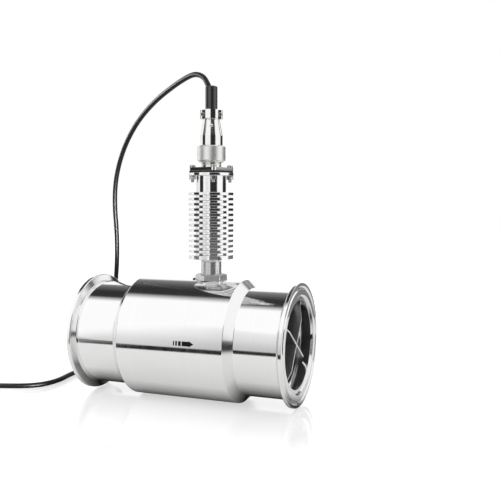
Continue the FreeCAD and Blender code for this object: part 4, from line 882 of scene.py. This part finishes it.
# The strap round the coil: a black nylon tie, moulded in one piece and drawn round all the turns. Its tongue
# passes through a small ratchet head and is cut short.
TIE_W, TIE_ROUND = 3.0, 1.6
TIE_NEAR, TIE_FAR, TIE_BAND_T = 12.95, 29.05, 0.8
TIE_HEAD_OUT, TIE_HEAD_H = 31.3, 5.6
tie_out = Vector((math.cos(math.radians(TIE_BEARING)), math.sin(math.radians(TIE_BEARING)), 0))
tie_low, tie_high = FLOOR_LINE + TIE_T - CABLE_D / 2, FLOOR_LINE + TIE_T + CABLE_D * 1.5
corners = [(TIE_NEAR, tie_low), (TIE_FAR, tie_low), (TIE_FAR, tie_high), (TIE_NEAR, tie_high)]
loop = []
for i, (r, z) in enumerate(corners):
    for k in range(5):
        swing = math.radians(225 + 90 * i + (k - 2) * 22.5)
        inset_r = TIE_ROUND if r == TIE_NEAR else -TIE_ROUND
        inset_z = TIE_ROUND if z == tie_low else -TIE_ROUND
        loop.append((r + inset_r + TIE_ROUND * math.cos(swing), z + inset_z + TIE_ROUND * math.sin(swing)))
places = [(COIL_MIDDLE + tie_out * r + Vector((0, 0, z))) * MM for r, z in loop]
bpy.ops.object.select_all(action="DESELECT")
bpy.ops.mesh.primitive_plane_add(size=MM)
strap = bpy.context.object
strap.name = strap.data.name = "coil_strap"
across = Vector((-tie_out.y, tie_out.x, 0)) * TIE_W * MM
bpy.ops.object.mode_set(mode="EDIT")
bpy.ops.mesh.merge(type="CENTER")
bpy.ops.transform.translate(value=places[0] - across / 2)
for before, after in zip(places, places[1:] + places[:1]):
    bpy.ops.mesh.extrude_vertices_move(TRANSFORM_OT_translate={"value": after - before})
bpy.ops.mesh.select_all(action="SELECT")
bpy.ops.mesh.remove_doubles(threshold=WELD_GAP * MM)
bpy.ops.mesh.select_all(action="SELECT")
bpy.ops.mesh.extrude_edges_move(TRANSFORM_OT_translate={"value": across})
bpy.ops.mesh.select_all(action="SELECT")
bpy.ops.mesh.normals_make_consistent(inside=False)
bpy.ops.object.mode_set(mode="OBJECT")
band = strap.modifiers.new("band", "SOLIDIFY")
band.thickness = TIE_BAND_T * MM
band.offset = 1.0
bpy.ops.object.modifier_apply(modifier="band")
tie_head_at = COIL_MIDDLE + tie_out * TIE_HEAD_OUT + Vector((0, 0, TIE_HEAD_H))
tie_head = box_tool("tie_head", tie_head_at, Vector((3.4, 4.6, 4.4)), math.radians(TIE_BEARING))
tongue = box_tool("tongue", tie_head_at + Vector((0, 0, 3.2)), Vector((0.8, 2.6, 3.6)),
                  math.radians(TIE_BEARING))
worked_with(tie_head, tongue, "UNION")
worked_with(strap, tie_head, "UNION")
eased_edges(strap, 0.12, 2, 40.0)
smooth_faces(strap)
fitted(strap, moulded("black_nylon", ("#111112", "#1d1d1e"), (0.38, 0.52), 1.53, 0.7, 0.01), "meter",
       "tie_nylon", "coil_tie")

# The free end: the sheath is cut back and three cores stand out, each with its own colour, fanned a little
# and resting on the surface, their last millimetres stripped to tinned strands.
end_at = Vector(route[-1])
ahead = (end_at - Vector(route[-2])).normalized()
beside = Vector((ahead.y, -ahead.x, 0)).normalized()
cores = []
CORE_D, STRAND_D, CORE_GAP = 1.0, 0.6, 1.2
CORE_TONES = {"red": ("#8e1712", "#b5261e"), "yellow": ("#b58a12", "#d6a826"),
              "white": ("#cfcfca", "#e4e4df")}
for side, (colour, tones) in zip((-1, 0, 1), CORE_TONES.items()):
    foot = end_at + beside * side * CORE_GAP
    bend = foot + ahead * 6.0
    stop = Vector((bend.x + beside.x * side * 1.6, bend.y + 12.0, 0.5))
    strip = (bend + stop) / 2 + Vector((0, 0, -0.4))
    places = [foot - ahead * 3, foot, bend, strip, stop]
    jacket = drawn_round(smooth_line(f"core_{colour}", places[:4]), CORE_D)
    insulation = moulded(f"{colour}_core_insulation", tones, (0.3, 0.42), 1.5, 0.6, 0.01)
    fitted(jacket, insulation, "meter", "core_insulation", "bare_cores")
    strands = drawn_round(smooth_line(f"strands_{colour}", places), STRAND_D)
    cores += [jacket, strands]
    fitted(strands, zinc, "meter", "core_insulation", "bare_cores")

# The floor: a pale sweep of smooth paper. To the eye it is white except where the meter shades it or is
# faintly mirrored close by. In the metal it is a white table top, with a painted shadow under the meter and a
# dark band along its edge.
EDGE_NEAR, EDGE_FAR, TABLE_R = -0.4, -0.185, 0.45
GAP_FROM, GAP_FULL, GAP_TO, GAP_SWING = 0.17, 0.28, 1.4, 0.17
EYE_GLOW, METAL_GLOW, MIRRORED = 0.81, 0.12, 0.28
bpy.ops.object.select_all(action="DESELECT")
bpy.ops.mesh.primitive_plane_add(size=6.0, location=(0, 0, -0.0002))
floor = bpy.context.object
floor.name = "floor"
sweep, tree, shader = finish_of("matt_paper_sweep")
shader.inputs["Roughness"].default_value = 0.9
shader.inputs["Specular IOR Level"].default_value = 0.1
here = add_node(tree, "TexCoord", {}).outputs["Object"]
ray = add_node(tree, "LightPath", {})
by_eye, by_metal = ray.outputs["Is Camera Ray"], ray.outputs["Is Glossy Ray"]
axes = add_node(tree, "SeparateXYZ", {"Vector": here})
# The front edge is a dark band across the floor, lighter towards its left end.
forward = add_node(tree, "VectorMath", {0: here, 1: (0.225, 0.974, 0)}, operation="DOT_PRODUCT")
past_near = add_node(tree, "Math", {0: forward, 1: EDGE_NEAR}, operation="GREATER_THAN")
before_far = add_node(tree, "Math", {0: forward, 1: EDGE_FAR}, operation="LESS_THAN")
band = add_node(tree, "Math", {0: past_near, 1: before_far}, operation="MULTIPLY")
lighter_to_left = add_node(tree, "MapRange", {"Value": axes.outputs["X"], "From Min": -0.19, "From Max": -0.13,
                                   "To Min": 0.74, "To Max": 1.0})
front_edge = add_node(tree, "Math", {0: band, 1: lighter_to_left}, operation="MULTIPLY")
# A dark gap runs away from the outlet, within a narrow swing to either side.
from_outlet = add_node(tree, "VectorMath", {0: here, 1: (0.043, -0.044, 0)}, operation="SUBTRACT")
out_along = add_node(tree, "VectorMath", {0: from_outlet, 1: (0.94, -0.342, 0)}, operation="DOT_PRODUCT")
out_aside = add_node(tree, "VectorMath", {0: from_outlet, 1: (0.342, 0.94, 0)}, operation="DOT_PRODUCT")
swing = add_node(tree, "Math", {0: out_aside, 1: out_along}, operation="DIVIDE")
in_swing = add_node(tree, "Math", {0: swing, 1: 0.0, 2: GAP_SWING}, operation="COMPARE")
begun = add_node(tree, "MapRange", {"Value": out_along, "From Min": GAP_FROM, "From Max": GAP_FULL})
not_ended = add_node(tree, "Math", {0: out_along, 1: GAP_TO}, operation="LESS_THAN")
in_length = add_node(tree, "Math", {0: begun, 1: not_ended}, operation="MULTIPLY")
gap = add_node(tree, "Math", {0: in_length, 1: in_swing}, operation="MULTIPLY")
dark = add_node(tree, "Math", {0: front_edge, 1: gap}, operation="MAXIMUM")
# The eye sees paper, and the metal a white top with a painted shadow that darkens it under the meter.
fibre = add_node(tree, "TexNoise", {"Vector": here, "Scale": 300.0, "Detail": 3.0})
paper = add_node(tree, "Mix", {0: fibre, 6: linear("#bbbbbb"), 7: linear("#c1c1c1")}, data_type="RGBA")
# Painted shadow: the table top that only the metal sees goes near black along the line under the meter.
off_line = add_node(tree, "Math", {0: axes.outputs["Y"]}, operation="ABSOLUTE")
painted_shadow_falloff = add_node(tree, "MapRange", {"Value": off_line, "From Min": 0.0, "From Max": 0.036, "To Min": 0.02,
                                  "To Max": 1.0})
top = add_node(tree, "Mix", {0: painted_shadow_falloff, 6: linear("#050505"), 7: linear("#f0f0ef")}, data_type="RGBA")
table = add_node(tree, "Mix", {0: dark, 6: top, 7: linear("#050505")}, data_type="RGBA")
colour = add_node(tree, "Mix", {0: by_metal, 6: paper, 7: table}, data_type="RGBA")
tree.links.new(colour.outputs[2], shader.inputs["Base Color"])
# A glow lifts the paper to white for the eye, and the table top a little for the metal.
tint = add_node(tree, "Mix", {0: by_metal, 6: (1, 1, 1, 1), 7: table}, data_type="RGBA")
tree.links.new(tint.outputs[2], shader.inputs["Emission Color"])
to_eye = add_node(tree, "Math", {0: by_eye, 1: EYE_GLOW}, operation="MULTIPLY")
glow = add_node(tree, "Math", {0: by_metal, 1: METAL_GLOW, 2: to_eye}, operation="MULTIPLY_ADD")
tree.links.new(glow.outputs["Value"], shader.inputs["Emission Strength"])
# Past the table's reach the metal sees the room instead, and close by the eye sees a faint mirror image.
reach = add_node(tree, "VectorMath", {0: here}, operation="LENGTH")
beyond = add_node(tree, "Math", {0: reach, 1: TABLE_R}, operation="GREATER_THAN")
past_table = add_node(tree, "Math", {0: beyond, 1: gap}, operation="SUBTRACT", use_clamp=True)
unseen = add_node(tree, "Math", {0: past_table, 1: by_metal}, operation="MULTIPLY")
open_air = add_node(tree, "BsdfTransparent", {})
polish = add_node(tree, "BsdfGlossy", {"Roughness": 0.08})
close_by = add_node(tree, "MapRange", {"Value": reach, "From Min": 0.12, "From Max": 0.18, "To Min": MIRRORED,
                                       "To Max": 0.0})
shine = add_node(tree, "Math", {0: by_eye, 1: close_by}, operation="MULTIPLY")
polished = add_node(tree, "MixShader", {0: shine, 1: shader, 2: polish})
surface = add_node(tree, "MixShader", {0: unseen, 1: polished, 2: open_air})
tree.links.new(surface.outputs["Shader"], tree.nodes["Material Output"].inputs["Surface"])
floor.data.materials.append(sweep)

# A low white card in front of the barrel, out of the picture, that only the metal shows: grey near the floor
# and white at its top, so the barrel's side darkens softly downwards.
def card_for_metal(name, width, height, place, turn):
    """An upright card that only reflections show, and the tree and shader of its glowing paint."""
    bpy.ops.object.select_all(action="DESELECT")
    bpy.ops.mesh.primitive_plane_add(size=1.0, location=(*place, height / 2),
                                     rotation=(math.pi / 2, 0, math.radians(turn)))
    card = bpy.context.object
    card.name = name
    card.scale = (width, height, 1.0)
    card.visible_camera = card.visible_diffuse = card.visible_transmission = card.visible_shadow = False
    paint, tree, shader = finish_of(f"{name}_paint")
    shader.inputs["Base Color"].default_value = (0, 0, 0, 1)
    shader.inputs["Specular IOR Level"].default_value = 0.0
    shader.inputs["Emission Color"].default_value = (1, 1, 1, 1)
    shader.inputs["Emission Strength"].default_value = 1.0
    card.data.materials.append(paint)
    return tree, shader


tree, shader = card_for_metal("front_card", 0.32, 0.24, (-0.1, -0.285), -27.0)
place = add_node(tree, "TexCoord", {})
across = add_node(tree, "SeparateXYZ", {"Vector": place.outputs["Generated"]})
rising = add_node(tree, "ValToRGB", {"Fac": across.outputs["Y"]})
rising.color_ramp.elements[0].color = (0.02, 0.02, 0.02, 1)
rising.color_ramp.elements[1].color = (1, 1, 1, 1)
for up, tone in [(0.012, 0.02), (0.02, 0.58), (0.2, 0.64), (0.5, 0.82)]:
    rising.color_ramp.elements.new(up).color = (tone, tone, tone, 1)
to_right = add_node(tree, "MapRange", {"Value": across.outputs["X"], "From Min": 0.3, "From Max": 0.6,
                                       "To Min": 1.25, "To Max": 0.97})
shade = add_node(tree, "VectorMath", {0: rising, "Scale": to_right}, operation="SCALE")
tree.links.new(shade.outputs["Vector"], shader.inputs["Emission Color"])
slant = add_node(tree, "Math", {0: across.outputs["Y"], 1: -0.35, 2: across.outputs["X"]},
                 operation="MULTIPLY_ADD")
left_fade = add_node(tree, "MapRange", {"Value": slant, "From Min": 0.02, "From Max": 0.16})
top_fade = add_node(tree, "MapRange", {"Value": across.outputs["Y"], "From Min": 0.85, "From Max": 1.0,
                                       "To Min": 1.0, "To Max": 0.0})
solid = add_node(tree, "Math", {0: left_fade, 1: top_fade}, operation="MULTIPLY")
tree.links.new(solid.outputs["Value"], shader.inputs["Alpha"])
# A small card, grey below and white above, stands close to the inlet's near side and keeps the barrel's left
# chamfer bright.
tree, shader = card_for_metal("side_card", 0.022, 0.096, (-0.1085, -0.0665), -64.0)
place = add_node(tree, "TexCoord", {})
split = add_node(tree, "SeparateXYZ", {0: place.outputs["Object"]})
upper = add_node(tree, "MapRange", {"Value": split.outputs["Y"], "From Min": -0.1, "From Max": 0.1,
                                    "To Min": 0.85, "To Max": 1.07})
tree.links.new(upper.outputs["Result"], shader.inputs["Emission Strength"])

# The studio: a white room with soft light, and in the metal the dark gaps between its panels and the
# dark ceiling above and behind. One wide lamp from the upper left gives the shading its direction.
def soft_lamp(name, watts, width, height, place, aim):
    """A rectangular lamp, its sides in metres, that faces what it is aimed at."""
    lamp = bpy.data.objects.new(name, bpy.data.lights.new(name, "AREA"))
    lamp.data.shape = "RECTANGLE"
    lamp.data.size, lamp.data.size_y = width, height
    lamp.data.energy = watts
    facing = (Vector(place) - Vector(aim)).to_track_quat("Z", "Y")
    lamp.matrix_world = Matrix.Translation(place) @ facing.to_matrix().to_4x4()
    bpy.context.scene.collection.objects.link(lamp)
    return lamp


soft_lamp("wide_lamp", 6.0, 1.4, 1.0, (-0.7, -1.1, 1.5), (0, 0, 0.08)).visible_glossy = False
# Two small lamps, one low in front and one on the left, draw the light streak along the black cable. They
# light the cable alone, because the metal has its own reflections.
streak_lit = bpy.data.collections.new("lit_by_streak_lamps")
streak_lit.objects.link(signal_cable)
for streak in (soft_lamp("streak_lamp_front", 8.0, 0.3, 0.1, (0.152, -0.225, 0.031), (-0.105, 0.058, 0.14)),
               soft_lamp("streak_lamp_left", 3.2, 0.3, 0.26, (-0.422, -0.11, 0.31), (-0.06, 0.028, 0.22))):
    streak.visible_camera = streak.visible_diffuse = False
    streak.light_linking.receiver_collection = streak_lit
world = bpy.data.worlds.new("studio")
bpy.context.scene.world = world
world.use_nodes = True
tree = world.node_tree
ray = add_node(tree, "LightPath", {})
sight = add_node(tree, "TexCoord", {})
from_front = add_node(tree, "Mapping", {"Vector": sight.outputs["Generated"],
                                        "Rotation": (0, 0, math.radians(69.34))})
swung = add_node(tree, "SeparateXYZ", {"Vector": from_front})
bearing = add_node(tree, "Math", {0: swung.outputs["Y"], 1: swung.outputs["X"]}, operation="ARCTAN2")
share = add_node(tree, "MapRange", {"Value": bearing, "From Min": -math.pi, "From Max": math.pi})
# The walls' light and dark panels, as a bearing in degrees from the camera's side and a tone there, below and
# above the height of the eye.
below = [(-112, 0.8), (-104, 1.0), (-98, 1.0), (-93, 0.02), (-63, 0.02), (-58, 1.0), (-9, 1.0), (-4, 0.02),
         (47, 0.02), (52, 1.0), (98, 1.0), (103, 0.02), (155, 0.02), (162, 1.0)]
above = [(-98, 1.0), (-93, 0.02), (-63, 0.02), (-58, 1.0), (-9, 1.0), (-4, 0.02), (43, 0.02), (48, 1.0),
         (100, 1.0), (112, 0.04), (156, 0.02), (162, 1.0)]
walls = []
for stops, left_end in ((below, 0.75), (above, 1.0)):
    panels = add_node(tree, "ValToRGB", {"Fac": share})
    ramp = panels.color_ramp.elements
    ramp[0].color = (left_end, left_end, left_end, 1)
    for degrees, tone in stops:
        ramp.new((degrees + 180) / 360).color = (tone, tone, tone, 1)
    walls.append(panels)
axes = add_node(tree, "SeparateXYZ", {"Vector": sight.outputs["Generated"]})
upper = add_node(tree, "MapRange", {"Value": axes.outputs["Z"], "From Min": 0.04, "From Max": 0.048})
wall = add_node(tree, "Mix", {0: upper, 6: walls[0], 7: walls[1]}, data_type="RGBA")
# Lighter parts: a window at the right back, a grey back wall, haze by the floor and a high left side.
over_belt = add_node(tree, "MapRange", {"Value": axes.outputs["Z"], "From Min": 0.17, "From Max": 0.2})
under_belt = add_node(tree, "MapRange", {"Value": axes.outputs["Z"], "From Min": 0.31, "From Max": 0.34,
                                         "To Min": 1.0, "To Max": 0.0})
belt = add_node(tree, "Math", {0: over_belt, 1: under_belt}, operation="MULTIPLY")
right_back = add_node(tree, "Math", {0: bearing, 1: math.radians(128.0), 2: math.radians(13.0)},
                      operation="COMPARE")
window = add_node(tree, "Math", {0: belt, 1: right_back}, operation="MULTIPLY")
behind = add_node(tree, "MapRange", {"Value": bearing, "From Min": math.radians(143.0),
                                     "From Max": math.radians(147.0)})
over_back = add_node(tree, "MapRange", {"Value": axes.outputs["Z"], "From Min": 0.29, "From Max": 0.33,
                                        "To Min": 0.0, "To Max": 0.35})
grey_back = add_node(tree, "Math", {0: behind, 1: over_back}, operation="MULTIPLY")
haze = add_node(tree, "MapRange", {"Value": axes.outputs["Z"], "From Min": -0.075, "From Max": -0.02,
                                   "To Min": 0.2, "To Max": 0.0})
high = add_node(tree, "MapRange", {"Value": axes.outputs["Z"], "From Min": 0.38, "From Max": 0.42})
left_side = add_node(tree, "Math", {0: bearing, 1: math.radians(-50.0)}, operation="LESS_THAN")
left_high = add_node(tree, "Math", {0: high, 1: left_side}, operation="MULTIPLY")
for light in (window, grey_back, haze, left_high):
    wall = add_node(tree, "Mix", {0: 1.0, 6: wall, 7: light}, data_type="RGBA", blend_type="LIGHTEN")
# The ceiling is white, with a dark part behind the inlet that fades towards the back.
slope = add_node(tree, "Math", {0: axes.outputs["Y"], 1: axes.outputs["Z"]}, operation="DIVIDE")
front_end = add_node(tree, "MapRange", {"Value": slope, "From Min": -0.16, "From Max": 0.08})
outlet_end = add_node(tree, "MapRange", {"Value": axes.outputs["X"], "From Min": -0.2, "From Max": 0.0,
                                         "To Min": 1.0, "To Max": 0.0})
dark_part = add_node(tree, "Math", {0: front_end, 1: outlet_end}, operation="MULTIPLY")
fading = add_node(tree, "MapRange", {"Value": slope, "From Min": 0.4, "From Max": 2.6, "To Min": 0.03,
                                     "To Max": 0.55})
ceiling = add_node(tree, "Mix", {0: dark_part, 2: 1.0, 3: fading}, data_type="FLOAT")
overhead = add_node(tree, "MapRange", {"Value": axes.outputs["Z"], "From Min": 0.48, "From Max": 0.55})
room = add_node(tree, "Mix", {0: overhead, 6: wall, 7: ceiling}, data_type="RGBA")
# Only the metal sees the room: the eye sees white, and other light is even.
in_metal = add_node(tree, "Mix", {0: ray.outputs["Is Glossy Ray"], 6: (0.75, 0.75, 0.75, 1), 7: room},
                    data_type="RGBA")
plain = add_node(tree, "Math", {0: ray.outputs["Is Camera Ray"], 1: ray.outputs["Is Transmission Ray"]},
                 operation="MAXIMUM")
seen = add_node(tree, "Mix", {0: plain, 6: in_metal, 7: (1, 1, 1, 1)}, data_type="RGBA")
tree.links.new(seen.outputs[2], tree.nodes["Background"].inputs["Color"])
strength = add_node(tree, "Math", {0: ray.outputs["Is Glossy Ray"], 1: 0.08, 2: 1.0},
                    operation="MULTIPLY_ADD")
tree.links.new(strength.outputs["Value"], tree.nodes["Background"].inputs["Strength"])
bpy.context.scene.view_settings.view_transform = "Standard"
